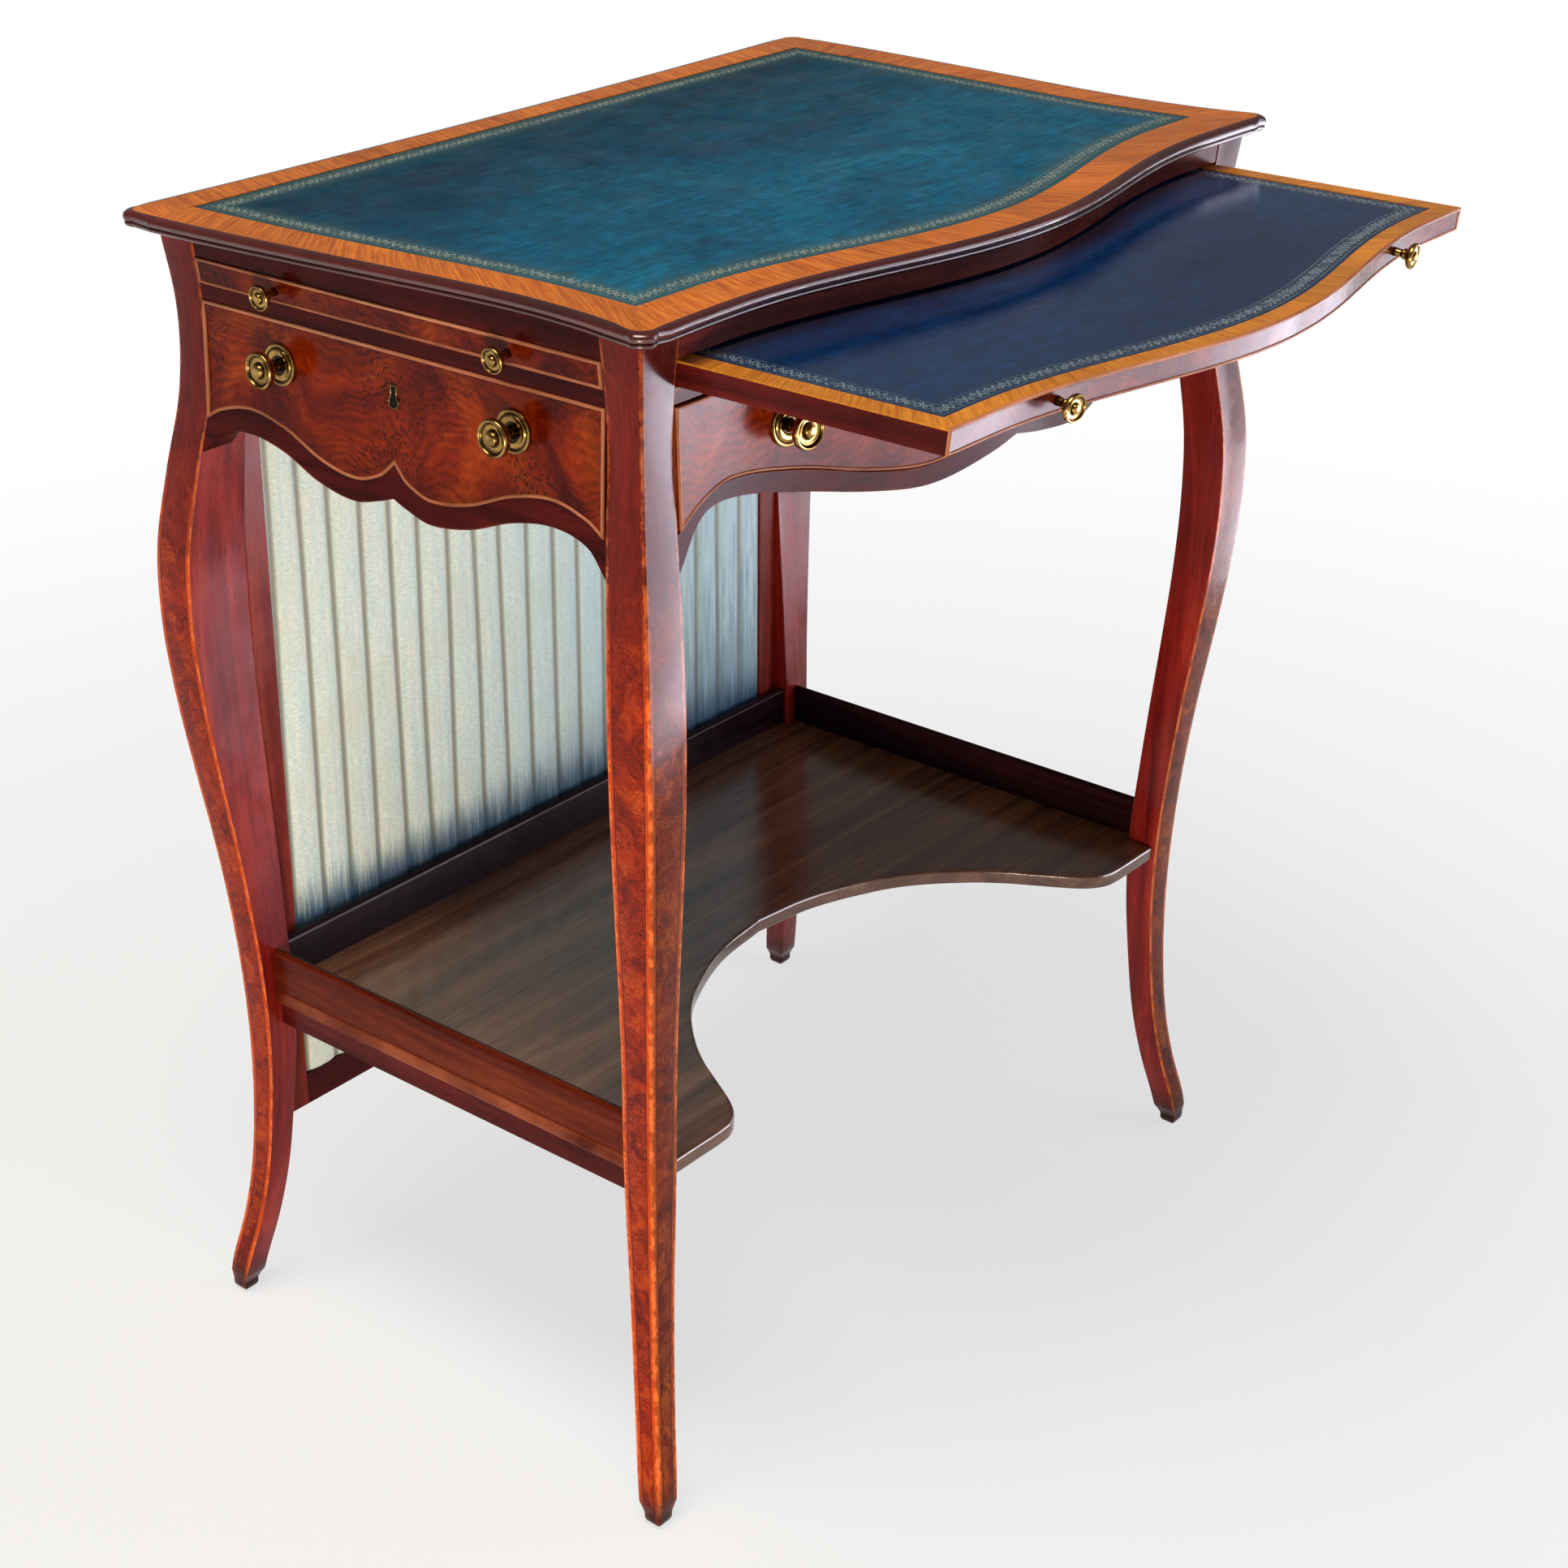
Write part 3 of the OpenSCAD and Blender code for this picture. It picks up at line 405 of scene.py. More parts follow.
@dataclass(frozen=True, eq=False)
class Value:
    """Output of a node, with sums written as in plain arithmetic."""

    graph: Graph
    socket: bpy.types.NodeSocket
    __add__ = operator("ADD")
    __sub__ = operator("SUBTRACT")
    __mul__ = operator("MULTIPLY")
    __truediv__ = operator("DIVIDE")
    __abs__ = operator("ABSOLUTE")


Input = Value | Colour | float


class Graph:
    """Node tree of a material or of the world, with short ways to write its nodes."""

    def __init__(self, owner: bpy.types.Material | bpy.types.World) -> None:
        """Turns the owner's nodes on."""
        owner.use_nodes = True
        self.owner, self.tree = owner, owner.node_tree

    def feed(self, socket: bpy.types.NodeSocket, value: Input) -> None:
        """Links a socket to a value or sets its constant, for a colour socket a display colour."""
        if isinstance(value, Value):
            self.tree.links.new(value.socket, socket)
        else:
            socket.default_value = srgb(*value) if socket.type == "RGBA" else value

    def add(self, kind: str, inputs: dict | None = None, out: int | str = 0, **settings: object) -> Value:
        """Adds a node.

        Args:
            kind: The node's type, without ShaderNode.
            inputs: What each input gets, by name or number.
            out: Which output is returned.
            settings: The node's own settings.

        Returns:
            The chosen output.
        """
        node = self.tree.nodes.new("ShaderNode" + kind)
        for key, value in settings.items():
            setattr(node, key, value)
        for key, value in (inputs or {}).items():
            self.feed(node.inputs[key], value)
        return Value(self, node.outputs[out])

    def math(self, operation: str, *values: Input) -> Value:
        """Result of one sum."""
        return self.add("Math", dict(enumerate(values)), operation=operation)

    def solid(self, scale: Point = (1, 1, 1)) -> Value:
        """Place in the frame, stretched by a scale along each axis."""
        return self.add("Mapping", {"Vector": self.add("TexCoord", out="Object"), "Scale": scale})

    def flat(self, layer: str = "flat", scale: Point = (1, 1, 1)) -> Value:
        """The piece's own flat coordinates, stretched by a scale."""
        return self.add("Mapping", {"Vector": self.add("UVMap", uv_map=layer), "Scale": scale})

    def part(self, vector: Value, axis: str) -> Value:
        """One part of a vector."""
        return self.add("SeparateXYZ", {0: vector}, axis)

    def noise(
        self, vector: Value, scale: float, detail: float = 4, rough: float = 0.55, twist: float = 0
    ) -> Value:
        """Cloudy noise, about 0.5 on average."""
        feed = {"Vector": vector, "Scale": scale, "Detail": detail, "Roughness": rough, "Distortion": twist}
        return self.add("TexNoise", feed)

    def span(
        self, value: Input, low: float, high: float, start: float = 0, end: float = 1, smooth: bool = False
    ) -> Value:
        """Carries a value from the range low to high to the one from start to end, and holds it there."""
        way = "SMOOTHSTEP" if smooth else "LINEAR"
        return self.add("MapRange", {0: value, 1: low, 2: high, 3: start, 4: end}, interpolation_type=way)

    def ramp(self, value: Value, places: Sequence[float], colours: Sequence[Colour]) -> Value:
        """Colour ramp through display colours at places from 0 to 1."""
        out = self.add("ValToRGB", {0: value})
        elements = out.socket.node.color_ramp.elements
        for i, (place, colour) in enumerate(zip(places, colours)):
            spot = elements[i] if i < 2 else elements.new(place)
            spot.position, spot.color = place, srgb(*colour)
        return out

    def mix(self, share: Value, a: Value | Colour, b: Value | Colour) -> Value:
        """Mixes two colours."""
        return self.add("Mix", {0: share, 6: a, 7: b}, 2, data_type="RGBA")

    def tint(self, colour: Value | Colour, factor: Value) -> Value:
        """Colour made lighter or darker by a factor."""
        colour = srgb(*colour)[:3] if isinstance(colour, tuple) else colour
        return self.add("VectorMath", {0: colour, 3: factor}, operation="SCALE")

    def shade(self, colour: Value | Colour, value: Value, *span: float) -> Value:
        """Colour tinted by a value that is carried from one range to another."""
        return self.tint(colour, self.span(value, *span))

    def patchy(self, scale: float, rough: float, low: float, high: float) -> Value:
        """Roughness that drifts between two multiples of its mean, by a noise of a scale."""
        return self.span(self.noise(self.solid(), scale), 0.3, 0.7, rough * low, rough * high)


class Coat(Graph):
    """Node tree of one finish, round a Principled shader."""

    def __init__(self, name: str, **constants: float) -> None:
        """Starts the material; the constants are values of the shader's own sockets, with _ for a space."""
        super().__init__(bpy.data.materials.new(name))
        self.tree.nodes.clear()
        self.shader = self.tree.nodes.new("ShaderNodeBsdfPrincipled")
        self.out = self.tree.nodes.new("ShaderNodeOutputMaterial")
        self.tree.links.new(self.shader.outputs[0], self.out.inputs[0])
        for key, value in constants.items():
            self.feed(self.shader.inputs[key.replace("_", " ")], value)

    def darkened_foot(self, colour: Value) -> Value:
        """Darkens the foot of a leg, black at the floor and unchanged above the toe."""
        height = self.noise(self.solid(), 90, 3) * 0.01 + self.part(self.solid(), "Z")
        return self.shade(colour, height, 0.013, 0.04, 0.16, 1.0)

    def finish(self, colour: Value, rough: Value | float, *bumps: tuple[Value, float]) -> bpy.types.Material:
        """Closes the tree.

        Args:
            colour: Base colour.
            rough: Roughness.
            bumps: Heights from 0 to 1, each with the depth in metres that it stands for.

        Returns:
            The material.
        """
        self.feed(self.shader.inputs["Base Color"], colour)
        self.feed(self.shader.inputs["Roughness"], rough)
        under: dict = {}
        for height, depth in bumps:
            bump = {"Height": height, "Distance": depth, "Strength": 1.0}
            under = {"Normal": self.add("Bump", bump | under)}
        self.feed(self.shader.inputs["Normal"], under["Normal"])
        return self.owner


# Finishes


class Grain(Enum):
    """Way the grain runs: how much a pattern is stretched along X, Y and Z, or along the flat coordinates."""

    ALONG_X = (0.05, 1.0, 1.0)
    ALONG_Y = (1.0, 0.05, 1.0)
    ALONG_Z = (1.0, 1.0, 0.05)
    ALONG_U = (0.05, 1.0, 0.0)


@dataclass(frozen=True)
class Wood:
    """Polished wood with its grain along one way.

    Broad bands of colour and fine fibres are two noises stretched twentyfold along the grain; open pores
    are the deepest part of the fine one. Where the piece knows how far its edges are, the last millimetre
    is rubbed pale.
    """

    name: str
    dark: Colour
    mid: Colour
    light: Colour
    grain: Grain = Grain.ALONG_X
    rough: float = 0.22
    gloss: float = 0.08
    bands: float = 70.0
    twist: float = 0.7
    rubbed: Colour = (190, 104, 66)
    rub: float = 0.0
    rub_width: float = 0.0009
    toe: bool = False

    def make(self) -> bpy.types.Material:
        """Builds the material."""
        g = Coat(self.name, Specular_IOR_Level=self.gloss)
        stretch = self.grain.value
        place = g.flat(scale=stretch) if self.grain is Grain.ALONG_U else g.solid(stretch)
        bands = g.noise(place, self.bands, 5, 0.6, self.twist)
        fibres = g.noise(place, 1300, 2, 0.5)
        cloud = g.noise(g.solid(), 14, 3)
        colour = g.ramp(bands, (0.3, 0.52, 0.72), (self.dark, self.mid, self.light))
        colour = g.shade(colour, fibres, 0.3, 0.62, 0.72, 1.12)
        colour = g.shade(colour, cloud, 0.3, 0.7, 0.78, 1.18)
        if self.rub:
            edge = g.part(g.flat("rim"), "X")
            worn = g.span(edge, self.rub_width, 0, 0, self.rub) * g.span(cloud, 0.35, 0.6)
            colour = g.mix(worn, colour, self.rubbed)
        if self.toe:
            colour = g.darkened_foot(colour)
        return g.finish(colour, g.patchy(45, self.rough, 0.75, 1.35), (fibres, 0.00006))


@dataclass(frozen=True)
class Burr:
    """Burr veneer: soft clouds, a fine wavy figure and clusters of dark specks.

    The clouds are a noise read at places that a second noise has pushed about. The figure is a train of
    level waves, bent by noise. The specks are the middles of small cells, kept where a broad noise is high.
    Off the legs the colour is darkened towards the edges of the field, a painted shade.
    On the legs the veneer stops at straight-grained strips along the edges, parted from it by a dark line,
    and gives way to plain red wood over the knee. Faces turned to the front are painted bluer there, a
    painted cool reflection of the window light, and the very edge is frayed to raw wood.
    """

    name: str
    dark: Colour = (82, 14, 2)
    mid: Colour = (130, 36, 4)
    light: Colour = (166, 66, 10)
    speck: Colour = (40, 9, 4)
    specks: float = 0.85
    cell: float = 430.0
    crowd: float = 0.5
    border: float = 0.0
    strip: Colour = (206, 70, 16)
    post: Colour = (104, 24, 14)
    raw: Colour = (246, 124, 52)
    # Colour factors of the painted cool reflection on faces turned to the front.
    front_painted_cool_light: Point = (0.62, 0.98, 1.3)
    # Width of the painted shade that darkens the burr towards its edges.
    fade: float = 0.022
    rough: float = 0.18
    gloss: float = 0.09
    scale: float = 14.0
    figure: float = 56.0
    push: float = 0.045

    def edged(self, g: Coat, colour: Value, place: Value, edge: Value, eyes: Value, cloud: Value) -> Value:
        """Adds what only the legs have.

        Args:
            g: The finish.
            colour: The burr's colour.
            place: Place in the frame.
            edge: Distance from the nearest edge of the face.
            eyes: How much of a speck lies at a place.
            cloud: The burr's clouds.

        Returns:
            The colour with its strips, post, painted cool reflection on front faces and frayed edge.
        """
        height = g.part(place, "Z")
        fibres = g.noise(g.solid(Grain.ALONG_Z.value), 500, 4, 0.6)
        plain = g.mix(eyes * 0.7, g.shade(self.strip, fibres, 0.3, 0.7, 0.6, 1.3), self.speck)
        colour = g.mix(g.span(edge, self.border + 0.0001, self.border - 0.0001), colour, plain)
        colour = g.mix(g.span(abs(edge - self.border), 0.0005, 0.0002, 0, 0.8), colour, self.speck)
        post = g.shade(self.post, fibres, 0.3, 0.7, 0.7, 1.3)
        knee = g.span(g.noise(place, 12, 3) * 0.05 + height, 0.545, 0.645)
        colour = g.mix(knee, colour, g.shade(post, cloud, 0.3, 0.7, 0.7, 1.3))
        # Painted cool reflection: faces turned to the front have their colour shifted towards blue.
        facing = abs(g.part(g.add("TexCoord", out="Normal"), "Y"))
        painted_cool = g.add("VectorMath", {0: colour, 1: self.front_painted_cool_light}, operation="MULTIPLY")
        colour = g.mix(g.span(facing, 0.4, 0.7), colour, painted_cool)
        frayed = g.noise(place, 420, 3) * -0.0042 + edge
        chips = g.span(frayed, 0, -0.0004) * g.span(g.noise(place, 110, 3), 0.42, 0.56, 0.1, 0.85)
        chips = chips * g.span(height, 0.66, 0.5, 0.35, 1)
        return g.darkened_foot(g.mix(chips, colour, self.raw))

    def make(self) -> bpy.types.Material:
        """Builds the material."""
        g = Coat(self.name, Specular_IOR_Level=self.gloss)
        place, edge = g.solid(), g.part(g.flat("rim"), "X")
        push = g.add("TexNoise", {"Vector": place, "Scale": self.scale * 1.4, "Detail": 3.0}, "Color")
        pushed = g.add("VectorMath", {0: push, 1: (self.push,) * 3, 2: place}, operation="MULTIPLY_ADD")
        cloud = g.noise(pushed, self.scale, 6, 0.58, 1)
        fine = g.noise(pushed, self.scale * 13, 4, 0.65, 0.8)
        wave = {"Vector": pushed, "Scale": self.figure, "Distortion": 7.0, "Detail": 3.0, "Detail Scale": 0.5}
        waves = g.add("TexWave", wave, "Fac", bands_direction="Z")
        shown = g.span(g.noise(place, 17, 2), 0.36, 0.6, 0.04, 0.46)
        colour = g.ramp(cloud, (0.32, 0.5, 0.68), (self.dark, self.mid, self.light))
        colour = g.tint(colour, shown * (waves - 0.7) + 1.0)
        colour = g.shade(colour, fine, 0.3, 0.68, 0.74, 1.18)
        cells = g.add("TexVoronoi", {"Vector": pushed, "Scale": self.cell}, "Distance")
        crowd = g.span(g.noise(place, 26, 3), self.crowd, self.crowd + 0.1)
        eyes = g.span(cells, 0.46, 0.26) * (crowd * self.specks)
        colour = g.mix(eyes, colour, self.speck)
        if self.border:
            colour = self.edged(g, colour, place, edge, eyes, cloud)
        else:
            # Painted shade: the burr is darkened towards the edges of its field.
            colour = g.shade(colour, edge, 0, self.fade, 0.66, 1, True)
        rough = g.patchy(60, self.rough, 0.7, 1.4)
        return g.finish(colour, rough, (fine, 0.00003), (g.noise(place, 40, 2), 0.00025))


@dataclass(frozen=True)
class Crossband:
    """Banding of pale veneer with its grain across the strip, in short lengths that differ in tone."""

    name: str
    dark: Colour
    light: Colour
    rough: float = 0.3
    lean: float = 0.35
    lengths: float = 14.0

    def make(self) -> bpy.types.Material:
        """Builds the material: noise stretched across the strip, slanted by lean, and steps of tone along."""
        g = Coat(self.name, Specular_IOR_Level=0.15)
        flat = g.flat()
        along, across = g.part(flat, "X"), g.part(flat, "Y")
        place = g.add("CombineXYZ", {0: across * self.lean + along, 1: across * 0.06})
        fibres = g.noise(place, 1900, 2)
        step = g.math("FLOOR", along * self.lengths)
        tone = g.add("TexWhiteNoise", {"W": step}, "Value", noise_dimensions="1D")
        colour = g.ramp(g.noise(place, 420, 5, 0.7), (0.36, 0.6), (self.dark, self.light))
        colour = g.shade(colour, fibres, 0.3, 0.6, 0.8, 1.08)
        colour = g.shade(colour, tone, 0, 1, 0.9, 1.08)
        colour = g.shade(colour, g.noise(g.solid(), 12, 3), 0.3, 0.7, 0.82, 1.15)
        return g.finish(colour, g.patchy(50, self.rough, 0.8, 1.3), (fibres, 0.00004))


@dataclass(frozen=True)
class Hide:
    """Writing leather with a tooled border.

    The pebbled grain is a cell pattern with a finer noise over it. The tooling lies at a distance from the
    edge: two waves of the same pitch cross in a band, with a finer curl between them and a dotted line on
    each side.
    """

    name: str
    deep: Colour = (2, 62, 94)
    pale: Colour = (12, 94, 124)
    edging: Colour = (54, 84, 88)
    tool: Colour = (150, 160, 150)
    middle: float = 0.0105
    reach: float = 0.0042
    pitch: float = 0.011
    rough: float = 0.38
    gloss: float = 0.07
    back: tuple[float, float] = (0.0, 0.0)
    drag: float = 0.0

    def tooling(self, g: Coat) -> Value:
        """Share of the tooled line at a place, from the distance to the edge and the run along it."""
        rim = g.flat("rim")
        turn = g.part(rim, "Y") * (2 * math.pi / self.pitch)
        lift = (g.part(rim, "X") - self.middle) / self.reach
        wave, curl = g.math("SINE", turn) * 0.72, g.math("SINE", turn * 3.0) * 0.3
        near = g.math("MINIMUM", abs(lift - wave), abs(lift + wave))
        near = g.math("MINIMUM", near, abs(lift - curl))
        dots = g.span(g.math("SINE", turn * 7.0), -0.2, 0.2)
        band = g.span(near, 0.22, 0.1) * g.span(abs(lift), 1, 0.95)
        tooled = g.math("MAXIMUM", band, g.span(abs(abs(lift) - 1.28), 0.1, 0.05) * dots)
        return tooled * g.span(g.noise(g.flat(), 160, 3), 0.36, 0.56, 0.25, 0.95)

    def make(self) -> bpy.types.Material:
        """Builds the material."""
        g = Coat(self.name, Specular_IOR_Level=self.gloss)
        place, edge = g.solid(), g.part(g.flat("rim"), "X")
        scuff = g.noise(g.solid((0.12, 1, 1)), 260, 3, 0.6)
        mottle = g.noise(place, 90, 5, 0.7, 0.4)
        colour = g.mix(g.span(g.noise(place, 7, 4, 0.6, 0.6), 0.3, 0.7), self.deep, self.pale)
        colour = g.shade(colour, mottle, 0.34, 0.66, 0.74, 1.3)
        colour = g.shade(colour, scuff, 0.35, 0.7, 0.82, 1.3)
        if self.back[1]:
            colour = g.shade(colour, g.part(place, "Y"), *self.back, 1.08, 0.4)
        faded = g.span((mottle - 0.5) * 0.03 + edge, 0.03, 0.008, 0, 0.75, True)
        colour = g.mix(faded, colour, self.edging)
        mask = self.tooling(g)
        colour = g.mix(mask, colour, self.tool)
        rough = g.patchy(30, self.rough, 0.8, 1.3) + mask * 0.1
        cells = g.add("TexVoronoi", {"Vector": place, "Scale": 1100.0}, "Distance")
        sunk = g.math("SUBTRACT", 1.0, mask)
        bumps = [(g.span(cells, 0, 0.6), 0.000015), (g.noise(place, 2200, 3), 0.00001), (sunk, 0.00008)]
        if self.drag:
            bumps.append((g.noise(g.solid((1, 0.14, 1)), 420, 2), self.drag))
        return g.finish(colour, rough, *bumps)


@dataclass(frozen=True)
class Silk:
    """Pale ribbed silk, painted with shade in its folds and with cool light towards the right, and dark blue
    along the line of the shelf, higher to the right.

    The flat coordinates hold the width and the height; the rim layer holds how deep in a fold the cloth
    lies, and the height above its lower edge.
    """

    name: str = "pleated_silk"
    pale: Colour = (250, 255, 236)
    cool: Colour = (226, 246, 236)
    yellowed: Colour = (222, 218, 182)
    # Tint of the painted cool light towards the right.
    blue: Colour = (160, 214, 230)
    # Colour of the painted shade in the folds.
    fold: Colour = (128, 122, 92)
    # Blue that rises above the line of the shelf towards the right.
    blue_rise: Colour = (26, 84, 110)
    # Darker blue of the ragged band just above the line of the shelf.
    base: Colour = (10, 74, 100)
    # Heights above the cloth's lower edge where the dark blue band starts and ends.
    blue_band: tuple[float, float] = (0.112, 0.15)

    def make(self) -> bpy.types.Material:
        """Builds the material."""
        g = Coat(self.name, Specular_IOR_Level=0.25, Sheen_Weight=0.25, Sheen_Roughness=0.4)
        flat, rim = g.flat(), g.flat("rim")
        depth, height = g.part(rim, "X"), g.part(rim, "Y")
        streak = g.noise(g.flat(scale=(1, 0.06, 1)), 260, 4, 0.6)
        slubs = g.noise(g.flat(scale=(0.4, 1, 1)), 620, 4, 0.75)
        threads = g.noise(g.flat(scale=(1, 0.05, 1)), 2400, 2)
        teeth = g.noise(g.flat(scale=(1, 0.04, 1)), 700, 3)
        cloud = g.noise(flat, 9, 4, 0.6)
        colour = g.mix(g.span(streak, 0.35, 0.65), self.cool, self.pale)
        colour = g.shade(colour, slubs, 0.34, 0.66, 0.8, 1.12)
        colour = g.shade(colour, threads, 0.3, 0.7, 0.92, 1.06)
        colour = g.mix(g.span(cloud, 0.48, 0.66, 0, 0.4), colour, self.yellowed)
        # Painted cool light: the cloth turns bluer towards the right, where the window light falls.
        side = cloud * 0.1 + g.part(flat, "X")
        colour = g.mix(g.span(side, -0.1, 0.2, 0, 0.5, True), colour, self.blue)
        # Painted shade: the cloth turns brown the deeper it lies in a fold.
        colour = g.mix(g.span(depth, 0.5, 0.95, 0, 0.9), colour, self.fold)
        # Bluer along the line of the shelf: a ragged dark band just above it, and a blue that rises higher
        # towards the right.
        foot = g.span(height, self.blue_band[0] - 0.03, self.blue_band[0])
        ragged = (teeth + streak - 1.0) * 0.03 + height
        tall = (streak - 0.5) * 0.4 + height
        blue_rise = g.span(tall, 0.28, 0.13, 0, 0.5, True) * g.span(side, 0.12, 0.26, 0, 1, True)
        colour = g.mix(blue_rise * foot, colour, self.blue_rise)
        low = g.span(ragged, self.blue_band[1], self.blue_band[0], 0, 0.95, True)
        colour = g.mix(low * foot, colour, self.base)
        return g.finish(colour, 0.55, (threads, 0.00003), (slubs, 0.00004))


@dataclass(frozen=True)
class Brass:
    """Old lacquered brass, dull brown where a noise gathers dirt."""

    name: str = "old_brass"
    bright: Colour = (176, 138, 74)
    dull: Colour = (112, 82, 44)
    groove: Colour = (38, 26, 14)
    rough: float = 0.16

    def make(self) -> bpy.types.Material:
        """Builds the material. The rim layer tells how much dirt lies in a turned groove."""
        g = Coat(self.name, Metallic=1.0)
        dirt = g.noise(g.solid(), 150, 4, 0.6, 0.5)
        colour = g.mix(g.span(dirt, 0.42, 0.7), self.bright, self.dull)
        colour = g.mix(g.span(g.part(g.flat("rim"), "X"), 0.1, 0.9), colour, self.groove)
        rough = g.span(dirt, 0.35, 0.7, self.rough * 0.8, self.rough * 1.7)
        return g.finish(colour, rough, (dirt, 0.00002))


@dataclass(frozen=True)
class Floor:
    """Plain pale floor. Seen directly or in a reflection, part of it is plain white light: all of it far
    off, less near the table, where the rest keeps the shadow."""

    name: str = "pale_floor"
    near: tuple[float, float] = (0.4, 0.66)
    far: tuple[float, float] = (1.9, 1.0)

    def make(self) -> bpy.types.Material:
        """Builds the material."""
        g = Coat(self.name, Roughness=1.0, Specular_IOR_Level=0.0)
        g.shader.inputs["Base Color"].default_value = (0.9, 0.9, 0.9, 1)
        rays = ("Is Camera Ray", "Is Glossy Ray", "Is Transmission Ray")
        camera, glossy, through = (g.add("LightPath", out=ray) for ray in rays)
        seen = g.math("MAXIMUM", camera, g.math("MAXIMUM", glossy, through))
        away = g.add("VectorMath", {0: g.solid()}, "Value", operation="LENGTH")
        white = g.span(away, self.near[0], self.far[0], self.near[1], self.far[1], True)
        glow = g.add("Emission", {"Color": (255, 255, 255), "Strength": 1.0})
        pale = Value(g, g.shader.outputs[0])
        g.feed(g.out.inputs[0], g.add("MixShader", {0: seen * white, 1: pale, 2: glow}))
        return g.owner


FINISHES = (
    Wood("leg_red", (96, 16, 14), (140, 32, 26), (170, 52, 38), Grain.ALONG_Z, rub=0.7, toe=True, gloss=0.18),
    Burr(
        "leg_burr", (104, 20, 4), (162, 44, 6), (200, 76, 14), border=0.0042, scale=38, figure=90, cell=640,
        crowd=0.44, gloss=0.13,
    ),
    Burr("panel_burr"),
    Burr("slide_burr", (74, 18, 8), (112, 34, 14), (144, 56, 26), fade=0.003, scale=30, gloss=0.1),
    Wood("rail_dark", (42, 8, 9), (66, 14, 14), (88, 24, 18), rub=0.4, gloss=0.05),
    # Lighter copy of the dark rail wood, painted light for the reflection on the upper front rail.
    Wood("rail_high", (70, 20, 18), (104, 34, 28), (130, 50, 38), rub=0.4, gloss=0.12),
    Wood("rail_side", (44, 9, 9), (70, 15, 14), (94, 26, 18), Grain.ALONG_Y, rub=0.4, gloss=0.05),
    Wood("board_dark", (50, 18, 13), (78, 28, 18), (104, 42, 26)),
    Wood("moulding_dark", (46, 10, 8), (82, 20, 14), (112, 38, 22), Grain.ALONG_U, rough=0.2, gloss=1.0),
    Wood("bead_pale", (140, 78, 52), (188, 118, 84), (220, 156, 118), Grain.ALONG_U, rough=0.3),
    Crossband("top_banding", (170, 78, 16), (226, 128, 38)),
    Crossband("slide_banding", (178, 98, 22), (220, 142, 46), lean=0.0),
    Wood("lipping_red", (84, 20, 12), (124, 36, 20), (156, 56, 30), rub=0.6),
    Hide("blue_leather", back=(-0.05, 0.16)),
    Hide(
        "dark_leather", (2, 27, 68), (6, 52, 98), (18, 46, 80), (130, 150, 158), middle=0.0085, rough=0.07,
        gloss=0.5, drag=0.00001,
    ),
    Wood(
        "shelf_brown", (66, 40, 27), (104, 68, 48), (138, 98, 72), rough=0.16, gloss=0.65, bands=24, twist=2.4
    ),
    # Darker copies of the gallery wood, painted shade: one for the back gallery, one for the inner faces of
    # the side galleries.
    Wood("gallery_dark", (22, 10, 14), (38, 18, 22), (56, 30, 32), rub=0.6),
    Wood("gallery_inner", (20, 8, 12), (36, 14, 20), (52, 22, 26), Grain.ALONG_Y, gloss=0.05),
    Wood("slide_side", (58, 12, 10), (90, 22, 18), (116, 36, 26), Grain.ALONG_Y),
    Wood("gallery_red", (64, 16, 6), (98, 32, 12), (126, 52, 22), Grain.ALONG_Y, rub=0.6),
    Wood("screen_frame", (96, 26, 20), (138, 46, 34), (166, 68, 50), Grain.ALONG_Z),
    Wood("drawer_lining", (120, 78, 44), (156, 108, 64), (182, 136, 86), rough=0.45),
    Silk(),
    Brass(),
    # Near-black finish of the keyhole plug, painted shadow.
    Wood("keyhole_dark", (6, 4, 3), (10, 6, 4), (16, 9, 6)),
    Floor(),
)


# Faces and fields


def at_front(x: Array, z: Array, out: Array | float) -> tuple:
    """Point of the bowed front at x and z, stood out from the leg faces by out."""
    return x, -(FORM.outer_y(z) + FORM.bowed(x) + out), z


def at_right(y: Array, z: Array, out: Array | float) -> tuple:
    """Point of the right side at y and z, stood out from the leg faces by out."""
    return FORM.outer_x(z) + out, y, z


def at_left(y: Array, z: Array, out: Array | float) -> tuple:
    """Point of the left side at y and z, stood out from the leg faces by out."""
    return -(FORM.outer_x(z) + out), y, z


